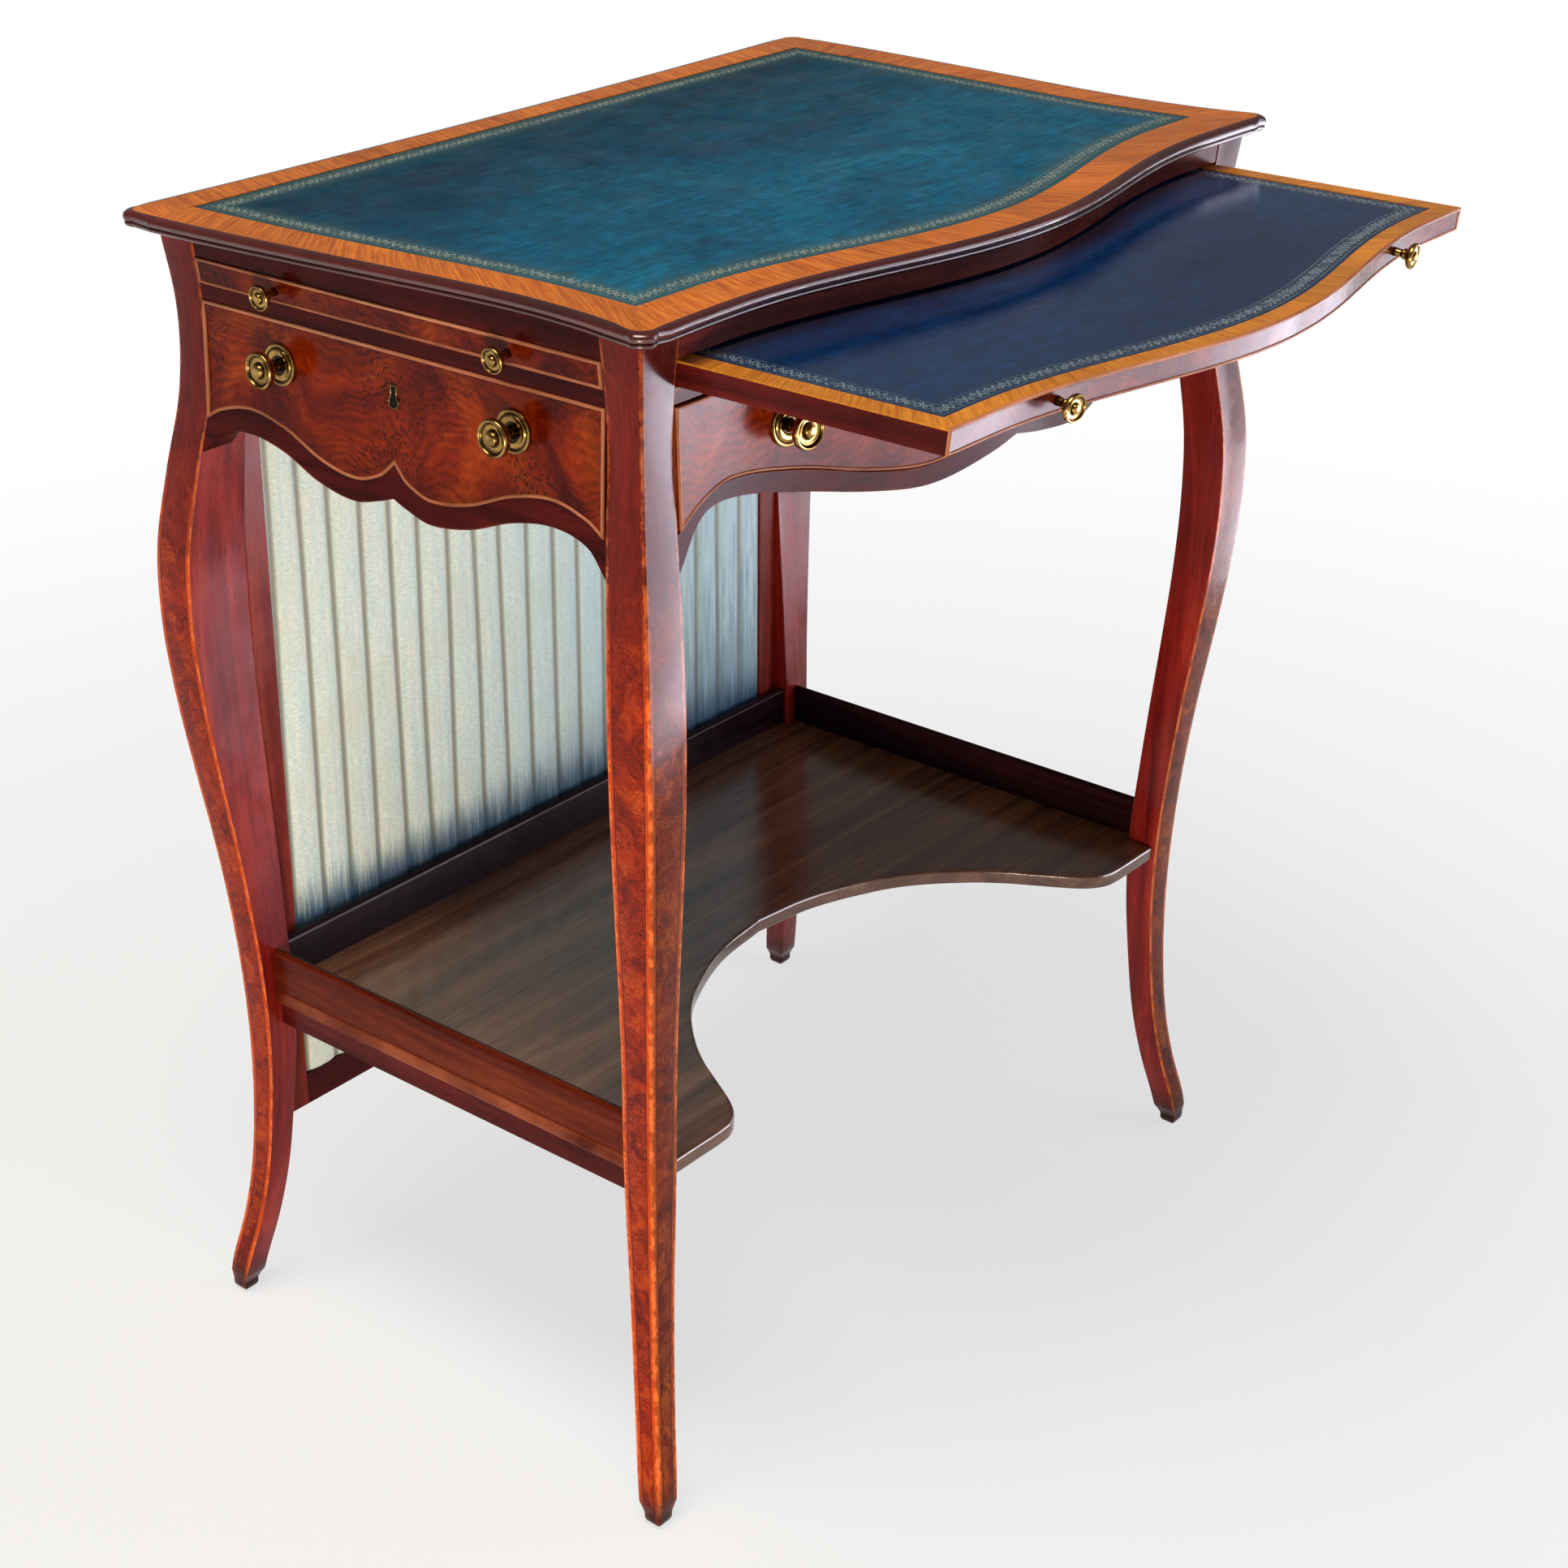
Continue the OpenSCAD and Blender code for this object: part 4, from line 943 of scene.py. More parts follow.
@dataclass(frozen=True)
class Panelled:
    """Beaded field on a face of the frieze, between two upright ends and a lower and an upper edge."""

    face: Face
    half: float
    low: Edge
    high: Edge
    columns: int = 120
    shift: float = 0.0
    under_bead: float = 0.4

    def spot(self, s: Array, z: Array, out: Array | float) -> Array:
        """Points on the face, drawn out towards the front by the shift."""
        points = joined(*self.face(s, z, out)).astype(float)
        points[..., 1] -= self.shift
        return points

    def area(self, inset: float, rows: int) -> tuple[Array, Array]:
        """Grid over the field: width by height, inset from every edge."""
        s = np.linspace(-self.half + inset, self.half - inset, self.columns + 1)[:, None]
        t = np.linspace(0, 1, rows + 1)[None]
        return s + 0 * t, (self.low(s) + inset) * (1 - t) + (self.high(s) - inset) * t

    def solid(
        self,
        shell: Shell,
        out: float,
        rows: int,
        under: float = 0.0,
        back: float | None = None,
        inset: float = 0.0,
        ends: Edge | None = None,
    ) -> Shell:
        """Adds the solid behind the field.

        Args:
            shell: Where it goes.
            out: How far its face stands out.
            rows: Rows of the grid.
            under: How far its back stands out, for a veneer.
            back: Depth of its back at the ends of the front, for a bowed rail.
            inset: Distance from every edge.
            ends: Half width at a height, where the ends follow the legs.

        Returns:
            The shell.
        """
        s, z = self.area(inset, rows)
        s = s if ends is None else s / self.half * ends(z)
        front, rear = self.spot(s, z, out), self.spot(s, z, under)
        if back is not None:
            rear[..., 1] = -(back + FORM.bowed(s)) - self.shift
        sides, foot, head = self.half - inset - np.abs(s), z - self.low(s) - inset, self.high(s) - inset - z
        edge = np.maximum(np.minimum(np.minimum(sides, foot), head), 0)
        return shell.slab(front, rear, joined(s, z, edge, 0) * MM)

    def veneer(self, shell: Shell, rows: int) -> Shell:
        """Adds the veneer, which runs a little way under the bead."""
        inset = FORM.bead_w - self.under_bead
        return self.solid(shell, FORM.panel_out, rows, under=-FORM.recess, inset=inset)

    def bead(self, shell: Shell) -> Shell:
        """Adds a mitred bead round the edge.

        The section rises from its foot, rounds over in the middle of its width and goes back; each of its
        points goes round the outline, set inwards along the mitred normals.
        """
        width, sunk, r = FORM.bead_w, -FORM.recess, FORM.bead_w / 2
        s = np.linspace(-self.half, self.half, self.columns + 1)
        line = np.vstack([np.stack([s, self.low(s)], -1), np.stack([s, self.high(s)], -1)[::-1]])
        line, inward = (np.vstack([a, a[:1]]) for a in (line, -outward(line, closed=True)))
        a = np.radians(np.linspace(180, 0, 9))
        across = np.r_[0, r + r * np.cos(a), width]
        height = np.r_[sunk, FORM.bead_proud - r + r * np.sin(a), sunk]
        where = line[None] + np.r_[across, 0][:, None, None] * inward[None]
        grid = self.spot(where[..., 0], where[..., 1], np.r_[height, sunk][:, None])
        round_ = np.cumsum(np.r_[0, np.hypot(np.diff(across), np.diff(height)), width])
        return shell.patch(grid, joined(travelled(line)[None], round_[:, None]) * MM)


def veneer_strip(shell: Shell, outer: Array, inner: Array, count: int, top: float, under: float) -> None:
    """Adds a level strip of veneer between two lines, with flat coordinates along and across it.

    Args:
        shell: Where it goes.
        outer: One edge in plan.
        inner: The other edge in plan.
        count: Number of even stations along it. Its ends stand back by a hair, so that strips only meet.
        top: Level of its face.
        under: Level of its underside.
    """
    ends = []
    for line in (outer, inner):
        run = travelled(line)
        want = np.linspace(0.0001, 0.9999, count) * run[-1]
        ends.append(np.stack([np.interp(want, run, line[:, k]) for k in (0, 1)], -1))
    a, b = ends
    t = np.linspace(0, 1, 5)[:, None, None]
    plan = a * (1 - t) + b * t
    wide = t[..., 0] * np.linalg.norm(a - b, axis=1)[None]
    flat = joined(travelled((a + b) / 2) + shell.count, wide, np.minimum(wide, wide[-1:] - wide), wide) * MM
    shell.slab(raised(plan, top), raised(plan, under), flat)


def laid_leather(
    shell: Shell, side: Edge, front: Edge, back: float, top: float, under: float, hem: bool = True
) -> Shell:
    """Adds a sheet of leather between two side lines, a shaped front line and a straight back line.

    Points lie close together near the edges. One at share u across and t from the front has x equal to u
    times the half width at its y, and y on the line from the front to the back at its x; three rounds
    settle the two. Each quad takes its border distance from the nearest edge, and the run along that edge.

    Args:
        shell: Where it goes.
        side: Half width at a place along Y.
        front: Front line at a place along X.
        back: Place of the back line.
        top: Level of its face.
        under: Level of its underside.
        hem: Whether the border goes along the back too.

    Returns:
        The shell.
    """
    near = np.array([0, 0.6, 3, 6, 9, 12, 15, 18, 21, 25, 30, 38.0])
    wide, deep = float(side(np.array(back))), back - float(front(np.array(0.0)))
    u, t = (
        np.r_[near, np.linspace(near[-1], length - near[-1], count)[1:-1], length - near[::-1]] / length
        for length, count in ((2 * wide, 62), (deep, 30))
    )
    u, t = np.meshgrid(2 * u - 1, t, indexing="ij")
    x = u * wide
    for _ in range(3):
        y = front(x) * (1 - t) + back * t
        x = u * side(y)
    rise = front(x + 0.5) - front(x - 0.5)
    slope = rise / np.hypot(1, rise)
    square = (y - front(x)) * np.sqrt(1 - slope**2)
    gaps = np.stack([side(y) - np.abs(x), square, back - y + (0 if hem else wide)], -1)
    runs = np.stack([y, x * (1 + 0.5 * slope**2), x], -1)
    middle = (gaps[:-1, :-1] + gaps[1:, :-1] + gaps[1:, 1:] + gaps[:-1, 1:]).argmin(-1)
    plan = np.dstack([x, y])
    high = np.where(gaps.min(-1) < 0.01, top - TUCK, top)
    face, base = raised(plan, high), raised(plan, under)
    for k in range(3 if hem else 2):
        flat = np.dstack([plan, np.maximum(gaps[..., k], 0), runs[..., k]]) * MM
        shell.patch(face, flat, keep=middle == k)
    shell.patch(base[::-1], plan[::-1] * MM)
    for pick in BORDER:
        shell.patch(np.stack([face[pick], base[pick]]), np.stack([plan[pick], plan[pick]]) * MM)
    return shell


# Sub-assemblies


@dataclass
class Assembly:
    """What every sub-assembly shares: the finishes by name, and the body that it moves with."""

    fin: SimpleNamespace
    body: str = "table"

    def piece(
        self,
        shell: Shell,
        name: str,
        finish: bpy.types.Material | tuple,
        node: str,
        slot: str,
        smooth: float = 35.0,
        bevel: float = 0.0,
    ) -> bpy.types.Object:
        """Makes a piece that moves with the body and stands for a node.

        Args:
            shell: Its surface.
            name: Name of the piece.
            finish: Its material, or several in the order of the slot numbers.
            node: The construction node that it stands for.
            slot: The record's material slot; not used.
            smooth: Edges sharper than this angle in degrees stay crisp.
            bevel: Width in millimetres of the softened edges.

        Returns:
            The piece.
        """
        made = shell.make(name, finish if isinstance(finish, tuple) else (finish,), smooth, bevel)
        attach(made, self.body)
        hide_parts(node)
        log.info("%s rides on %s, %d faces, for %s", name, self.body, len(made.data.polygons), node)
        return made

    def faced(self, fields: Sequence[Panelled], rows: int, burr: bpy.types.Material, *names: str) -> None:
        """Makes the veneer and the beads of fields that belong together.

        Args:
            fields: The fields.
            rows: Rows of the veneer's grid.
            burr: Finish of the veneer.
            names: Name and node of the veneer, then name and node of the beads.
        """
        veneer, beads = Shell(), Shell()
        for one in fields:
            one.veneer(veneer, rows)
            one.bead(beads)
        self.piece(veneer, names[0], burr, names[1], "burr")
        self.piece(beads, names[2], self.fin.bead_pale, names[3], "bead_wood", 50)


@dataclass
class Legs(Assembly):
    """Four square cabriole legs, veneered with burr on their two outer faces, each on a small square toe."""

    levels: int = 110
    foot_levels: tuple[float, ...] = (0, 0.2, 0.7, 1.5, 2.6, 4, 6.5, 7.5, 8.5, 10, 11.5, 13, 14)
    ankle: float = 15.0
    arris: float = 1.3
    inner_arris: float = 0.8
    toe: float = 12.4
    toe_h: float = 7.5
    toe_round: float = 4.2
    groove: tuple[float, float, float, float] = (171.8, 175.8, 5.0, 140.0)

    def sections(self, back: bool) -> tuple[Array, Array]:
        """Sections of the leg in the quarter where X and Y are positive.

        A section is a rectangle with rounded corners: a corner's points are its middle plus the radius
        times the cosine and sine of the angle. Under the ankle it is chamfered to the toe, whose foot is a
        quarter circle.

        Args:
            back: Whether the leg holds the screen in a groove.

        Returns:
            Rings of points, and for each the distance to the nearest edge of its face.
        """
        z = np.r_[self.foot_levels, np.linspace(self.ankle, FORM.under_top, self.levels)]
        z = np.sort(np.r_[z, self.groove[3] - 0.02, self.groove[3]]) if back else z
        above = np.maximum(z, self.ankle)
        xo, yo = FORM.outer_x(above), FORM.outer_y(above)
        own = xo - FORM.leg_side(above)
        ease = np.clip((above - FORM.post_z) / 15, 0, 1)
        inner = own + (FORM.post_x - own) * ease * ease * (3 - 2 * ease)
        xi, yi = (FORM.back_inner_x(above) if back else inner), inner - FORM.post_x + FORM.post_y
        tx = float(FORM.outer_x(5) - FORM.leg_side(5) / 2)
        ty = tx - FORM.leg_x + FORM.leg_y
        share = np.clip((z - self.toe_h) / (self.ankle - self.toe_h), 0, 1) ** 1.2
        half = self.toe / 2 - self.toe_round * (1 - np.sqrt(1 - np.clip(1 - z / 5, 0, 1) ** 2))
        xi, xo = (tx + k * half * (1 - share) + (v - tx) * share for k, v in ((-1, xi), (1, xo)))
        yi, yo = (ty + k * half * (1 - share) + (v - ty) * share for k, v in ((-1, yi), (1, yo)))
        middle_x, middle_y = (xo + xi) / 2, (yo + yi) / 2
        parts = []
        for cx, cy, sx, sy, start, r, after in (
            (xo, yo, 1, 1, 0, self.arris, (middle_x, yo)),
            (xi, yo, -1, 1, 90, self.inner_arris, (xi, middle_y)),
            (xi, yi, -1, -1, 180, self.inner_arris, (middle_x, yi)),
            (xo, yi, 1, -1, 270, self.inner_arris, (xo, middle_y)),
        ):
            a = np.radians(start + np.linspace(0, 90, 5))[None]
            x, y = (cx - sx * r)[:, None] + r * np.cos(a), (cy - sy * r)[:, None] + r * np.sin(a)
            parts.append(np.stack([x, y], -1))
            if back and start == 90:
                y0, y1, depth, low = self.groove
                deep = np.where(z >= low, depth, 0.0)[:, None]
                y = np.clip(np.array([[y1, y1, y0, y0]]), yi[:, None] + 1.5, yo[:, None] - 1.5)
                parts.append(np.stack([xi[:, None] + deep * np.array([0, 1, 1, 0]), y], -1))
            else:
                parts.append(np.stack(after, -1)[:, None])
        plan = np.concatenate(parts, 1)
        near_x = np.minimum(plan[..., 0] - xi[:, None], xo[:, None] - plan[..., 0])
        near_y = np.minimum(plan[..., 1] - yi[:, None], yo[:, None] - plan[..., 1])
        return raised(plan, z[:, None]), np.maximum(np.maximum(near_x, near_y), 0)

    def leg(self, name: str, node: str, sx: int, sy: int) -> None:
        """Makes one leg, on the side of the signs along X and Y."""
        ring, edge = self.sections(sy > 0)
        ring = ring * np.array([sx, sy, 1])
        n = ring.shape[1]
        flat = joined(travelled(ring[46])[None], ring[..., 2], edge, 0) * MM
        burr = np.r_[np.arange(n - 4, n), np.arange(0, 9)]
        rest = np.arange(8, n - 3)
        shell = Shell().patch(ring[:, burr], flat[:, burr], 0).patch(ring[:, rest], flat[:, rest], 1)
        shell.cap(ring[0], flat[0], 1).cap(ring[-1], flat[-1], 1)
        self.piece(shell, name, (self.fin.leg_burr, self.fin.leg_red), node, "leg_wood", 28)

    def build(self) -> None:
        """Makes the four legs."""
        for row, sy in (("front", -1), ("back", 1)):
            for hand, sx in (("left", -1), ("right", 1)):
                self.leg(f"{row}_{hand}_leg", f"leg_{row}_{hand}", sx, sy)


@dataclass
class Top(Assembly):
    """Writing surface: crossbanding, leather and a moulded edge that goes round the front and the sides."""

    ear: float = 9.0
    dip: float = 0.45
    dip_reach: float = 2.2
    veneer: float = 1.2
    drop: float = 0.3
    half: float = 301.0
    hide_half: float = 268.5
    section: tuple[tuple[float, float], ...] = (
        (0, 0), (3, 0), (3.9, 0.25), (4.6, 0.7), (5.15, 1.15), (5.4, 1.6), (5.4, 2.1), (5.2, 2.6),
        (4.75, 2.95), (4.1, 3.2), (5.3, 3.7), (5.9, 4.3), (6.1, 5.0), (6.1, 5.9), (5.9, 6.6), (5.4, 7.4),
        (4.6, 8.1), (3.5, 8.6), (2.2, 8.9), (0, 9),
    )

    def ears(self) -> tuple[float, float, float, float]:
        """Middles of the rounded corners: front x and y, back x and y."""
        fy = float(FORM.front_edge(self.half)) + self.ear
        by = float(FORM.back_edge(self.half)) - self.ear
        fx = float(FORM.side_edge(fy - self.ear)) - self.ear
        bx = float(FORM.side_edge(by + self.ear)) - self.ear
        return fx, fy, bx, by

    def rim(self) -> tuple[Array, list[int]]:
        """Outline from the seam on the left, round the front, to the seam on the right.

        Returns:
            The points, and the numbers of those where the rounded corners start and end.
        """
        fx, fy, _, _ = self.ears()
        y = np.linspace(FORM.seam_y, fy + 14, 60)
        left = np.stack([-FORM.side_edge(y), y], -1)
        x = np.linspace(6.5 - fx, fx - 6.5, 150)
        front = np.stack([x, FORM.front_edge(x)], -1)
        one, two = arc(-fx, fy, self.ear, 180, 270, 17), arc(fx, fy, self.ear, 270, 360, 17)
        marks = np.cumsum([len(left), len(one) - 1, len(front) + 1, len(two) - 1]).tolist()
        return np.vstack([left, one, front, two, left[::-1] * np.array([-1, 1])]), marks

    def moulding(
        self, path: Array, marks: Sequence[int], first: int, last: int, name: str, node: str
    ) -> None:
        """Carries the moulded section along part of an outline.

        Each section point stands out along the mitred normal of the outline by its own reach, less the dip
        times a bell curve round each end of a rounded corner.

        Args:
            path: The whole outline.
            marks: Points where the rounded corners start and end.
            first: First point of the part.
            last: Last point of the part.
            name: Name of the piece.
            node: The node it stands for.
        """
        normal = outward(path)
        normal[0], normal[-1] = (np.sign(path[0, 0]), 0), (np.sign(path[-1, 0]), 0)
        run = travelled(path)
        reach = 1 - self.dip * np.sum(np.exp(-(((run[:, None] - run[list(marks)]) / self.dip_reach) ** 2)), 1)
        section, part = np.array(self.section), slice(first, last + 1)
        plan = path[part, None] + normal[part, None] * (section[None, :, :1] * reach[part, None, None])
        shell = Shell().tube(raised(plan, FORM.under_top + section[:, 1]))
        self.piece(shell, name, self.fin.moulding_dark, node, "dark_wood", 42)

    def build(self) -> None:
        """Makes the banding, the leather and the mouldings."""
        rim, marks = self.rim()
        y = np.linspace(FORM.seam_y, float(FORM.hide_front(self.hide_half)), 60)
        side = np.stack([-FORM.hide_edge(y), y], -1)
        x = np.linspace(side[-1, 0], -side[-1, 0], 121)
        front = np.stack([x, FORM.hide_front(x)], -1)
        one, two = (marks[0] + marks[1]) // 2, (marks[2] + marks[3]) // 2
        face, under = FORM.table_h, FORM.table_h - self.veneer
        band = Shell()
        veneer_strip(band, rim[: one + 1], side, 70, face, under)
        veneer_strip(band, rim[one : two + 1], front, 160, face, under)
        veneer_strip(band, rim[two:], side[::-1] * np.array([-1, 1]), 70, face, under)
        self.piece(band, "top_banding_strips", self.fin.top_banding, "top_crossband", "banding")
        hide = laid_leather(Shell(), FORM.hide_edge, FORM.hide_front, FORM.seam_y, face - self.drop, under)
        self.piece(hide, "writing_leather", self.fin.blue_leather, "top_leather", "blue_leather", 60)
        stops = (0, marks[0], marks[3], len(rim) - 1)
        for hand, first, last in zip(("left", "front", "right"), stops, stops[1:]):
            self.moulding(rim, marks, first, last, hand + "_moulded_edge", "moulding_" + hand)


@dataclass
class Frieze(Assembly):
    """Rails and aprons under the top, and the sham slide and drawer at each end."""

    half: float = 263.95
    side_half: float = 157.1
    sham: tuple[float, float, float] = (719.7, 735.0, 709.2)

    def board(self, name: str, node: str, face: Face) -> None:
        """Makes the shaped board of one side."""
        board = Panelled(face, FORM.post_y, FORM.side_apron.even, level(FORM.under_top))
        s, z = board.area(0, 26)
        s = s / FORM.post_y * (FORM.inner_y(z) - 0.05)
        front = board.spot(s, z, -FORM.recess)
        back = front.copy()
        back[..., 0] = np.sign(front[0, 0, 0]) * FORM.side_in
        shell = Shell().slab(front, back, joined(s, z, z - FORM.side_apron.even(s), 0) * MM)
        self.piece(shell, name, self.fin.rail_side, node, "dark_wood", bevel=0.4)

    def build(self) -> None:
        """Makes the rails, the side friezes and their veneered fields and beads."""
        f, fin, half = FORM, self.fin, self.half
        upper = Panelled(at_front, half, level(f.upper_z), level(f.under_top))
        middle = Panelled(at_front, half, level(f.mid_bot), level(f.mid_top))
        apron = Panelled(at_front, half, f.front_apron.even, lambda s: f.front_bead.even(s) - 0.8, 160)
        for name, node, rail, rows, stop, wood in (
            # The upper rail takes the lighter copy of the rail wood, painted light.
            ("upper_front_rail", "upper_rail_front", upper, 6, None, fin.rail_high),
            ("middle_front_rail", "mid_rail_front", middle, 4, None, fin.rail_dark),
            ("shaped_front_apron", "apron_front", apron, 5, lambda z: f.inner_x(z) - 0.2, fin.rail_dark),
        ):
            shell = rail.solid(Shell(), -f.recess, rows, back=f.rail_back, ends=stop)
            self.piece(shell, name, wood, node, "dark_wood", bevel=0.4)
        self.board("right_frieze", "frieze_right", at_right)
        self.board("left_frieze", "frieze_left", at_left)
        low, high, top = self.sham
        edges = (("slide", level(low), level(high)), ("drawer", f.side_bead.even, level(top)))
        for kind, foot, head in edges:
            fields = [Panelled(face, self.side_half, foot, head, 90) for face in (at_right, at_left)]
            end, side = "end_" + kind, "side_" + kind
            names = end + "_veneers", side + "_panels", end + "_cockbeads", side + "_beads"
            self.faced(fields, 8, fin.panel_burr, *names)


@dataclass
class Undertier(Assembly):
    """Shelf with a serpentine kneehole, its side and back galleries."""

    top: float = 241.0
    thick: float = 10.0
    gallery_top: float = 269.5
    gallery_t: float = 6.5
    gallery_x: float = 275.5
    front: float = 176.0
    back: float = 167.5
    knee_cut: float = 148.0
    knee_half: float = 220.0
    soften: float = 1.6
    inset: float = 2.0
    gap: float = 0.2

    def gallery(self, start: Array, end: Array, across: Array, inner: int) -> Shell:
        """Gallery board with a rounded top between two places.

        Args:
            start: Plan of one end of its outer face.
            end: Plan of the other end.
            across: Unit vector in plan, from the outer to the inner face.
            inner: Number of the finish of its inner face.

        Returns:
            Its surface.
        """
        r = self.gallery_t / 2
        a = np.radians(np.linspace(180, 0, 13))
        wide = np.r_[0, r + r * np.cos(a), 2 * r]
        high = np.r_[self.top, self.gallery_top - r + r * np.sin(a), self.top]
        t = np.linspace(0, 1, 50)[:, None, None]
        rings = raised(start * (1 - t) + end * t + across * wide[None, :, None], high)
        closed = np.concatenate([rings, rings[:, :1]], 1)
        outside = np.broadcast_to(np.arange(rings.shape[1]) < len(a) // 2 + 1, (len(t) - 1, rings.shape[1]))
        flat = closed[..., :2] * MM
        shell = Shell().patch(closed, flat, 0, outside).patch(closed, flat, inner, ~outside)
        return shell.cap(rings[0][::-1]).cap(rings[-1])

    def build(self) -> None:
        """Makes the shelf and the galleries."""
        sx = float(FORM.inner_x(np.array(self.top))) - self.gap
        sy = float(FORM.inner_y(np.array(self.top))) - self.gap
        x = np.linspace(-self.knee_half - self.inset, self.knee_half + self.inset, 181)
        knee = np.where(np.abs(x) >= self.knee_half, 0, self.knee_cut * FORM.knee.even(x))
        wide, inner = self.gallery_x + 1, FORM.back_inner
        line = np.vstack([
            [[-wide, -sy], [-sx, -sy], [-sx, -self.front]], np.stack([x, knee - self.front], -1),
            [[sx, -self.front], [sx, -sy], [wide, -sy], [wide, sy], [inner, sy], [inner, self.back]],
            [[-inner, self.back], [-inner, sy], [-wide, sy]],
        ])
        loop, inward = (np.vstack([a, a[:1]]) for a in (line, -outward(line, closed=True)))
        a = np.radians(np.linspace(0, 90, 6))
        r, low = self.soften, self.top - self.thick
        into = np.r_[r + self.inset, r - r * np.sin(a), r - r * np.cos(a), r + self.inset][:, None]
        high = np.r_[low, low + r - r * np.cos(a), self.top - r + r * np.sin(a), self.top][:, None]
        grid = raised(loop[None] + into[..., None] * inward[None], high)
        flat = joined(grid[..., 0], grid[..., 1], into, 0) * MM
        at_side = np.abs(loop[:-1, 0] + loop[1:, 0]) > 2 * wide - 0.01
        side = np.broadcast_to(at_side, (len(into) - 1, len(line)))
        shell = Shell().patch(grid, flat, 0, ~side).patch(grid, flat, 1, side)
        shell.cap(grid[-1, :-1]).cap(grid[0, :-1][::-1])
        fin = self.fin
        self.piece(shell, "kneehole_shelf", (fin.shelf_brown, fin.gallery_red), "shelf_board", "shelf_wood")
        for hand, s in (("right", 1), ("left", -1)):
            ends = [np.array([s * self.gallery_x, y]) for y in (-sy, sy)]
            # The inner faces take the darker copy of the gallery wood, painted shade.
            board, woods = self.gallery(*ends, np.array([-s, 0.0]), 1), (fin.gallery_red, fin.gallery_inner)
            self.piece(board, hand + "_gallery", woods, "gallery_" + hand, "shelf_wood", 40)
        ends = [np.array([end, self.back - 1]) for end in (-inner, inner)]
        # The back gallery is all in the darker copy of the gallery wood, painted shade.
        board = self.gallery(*ends, np.array([0.0, -1.0]), 0)
        self.piece(board, "back_gallery", fin.gallery_dark, "gallery_back", "shelf_wood", 40)


@dataclass
class Slide(Assembly):
    """Writing slide: lipped and beaded in front, banded and lined with leather above."""

    body: str = "slide"
    half: float = 262.6
    top: float = 734.0
    bottom: float = 719.7
    layer: float = 732.8
    lip_back: float = 158.6
    band: float = 13.0
    band_front: float = 12.0
    layer_end: float = -10.0
    back: float = 140.0
    drop: float = 0.3

    def front_line(self, x: Array) -> Array:
        """Front line of the slide's upper face in plan, drawn out."""
        return -(FORM.outer_y(self.layer) - FORM.recess + FORM.bowed(x)) - FORM.slide_out

    def core(self) -> Shell:
        """Board behind the lipping: its section, stepped down under banding and leather, goes across."""
        across = np.linspace(self.half, -self.half, 141)
        near = -self.lip_back - FORM.bowed(across)
        far, step = (np.full(near.shape, y) for y in (self.back, self.layer_end))
        y = np.stack([near, far, far, step, step, near], -1) - FORM.slide_out
        z = [self.bottom, self.bottom, self.top, self.top, self.layer, self.layer]
        return Shell().tube(joined(across[:, None], y, z))

    def build(self) -> None:
        """Makes the lipping, its veneer and beads, the banding and the leather."""
        f, fin = FORM, self.fin
        lip, face = (
            Panelled(at_front, self.half, level(self.bottom), level(top), 140, f.slide_out)
            for top in (self.layer, self.top)
        )
        shell = lip.solid(Shell(), -f.recess, 6, back=self.lip_back)
        self.piece(shell, "slide_front_lipping", fin.slide_side, "slide_lipping", "leg_wood", bevel=0.2)
        self.piece(self.core(), "slide_core", fin.slide_side, "slide_board", "plain_wood", bevel=0.2)
        names = "slide_front_veneer", "slide_panel", "slide_cockbeads", "slide_beads"
        self.faced([face], 6, fin.slide_burr, *names)
        x = np.linspace(-self.half, self.half, 141)
        xi = np.linspace(self.band - self.half, self.half - self.band, 131)
        outer = np.stack([x, self.front_line(x)], -1)
        inner = np.stack([xi, self.front_line(xi) + self.band_front], -1)
        end = self.layer_end - f.slide_out
        band = Shell()
        for pair in ((outer[0], inner[0]), (outer[-1], inner[-1])):
            veneer_strip(band, *(np.stack([[p[0], end], p]) for p in pair), 24, self.top, self.layer)
        veneer_strip(band, outer, inner, 150, self.top, self.layer)
        self.piece(band, "slide_banding_strips", fin.slide_banding, "slide_crossband", "banding")
        line = lambda x: self.front_line(x) + self.band_front
        edge = level(self.half - self.band)
        hide = laid_leather(Shell(), edge, line, end, self.top - self.drop, self.layer, hem=False)
        self.piece(hide, "slide_lining", fin.dark_leather, "slide_leather", "dark_leather", 60)


@dataclass
class Drawer(Assembly):
    """Frieze drawer's serpentine front, with its veneer and beads."""

    body: str = "drawer"
    half: float = 262.6
    top: float = 708.2
    back: float = 165.6

    def build(self) -> None:
        """Makes the front, the veneer and the beads."""
        face = Panelled(at_front, self.half, FORM.front_bead.even, level(self.top), 160)
        shell = face.solid(Shell(), -FORM.recess, 10, back=self.back)
        self.piece(shell, "serpentine_drawer_front", self.fin.lipping_red, "drawer_front", "leg_wood")
        names = "drawer_veneer", "drawer_panel", "drawer_cockbeads", "drawer_beads"
        self.faced([face], 12, self.fin.panel_burr, *names)


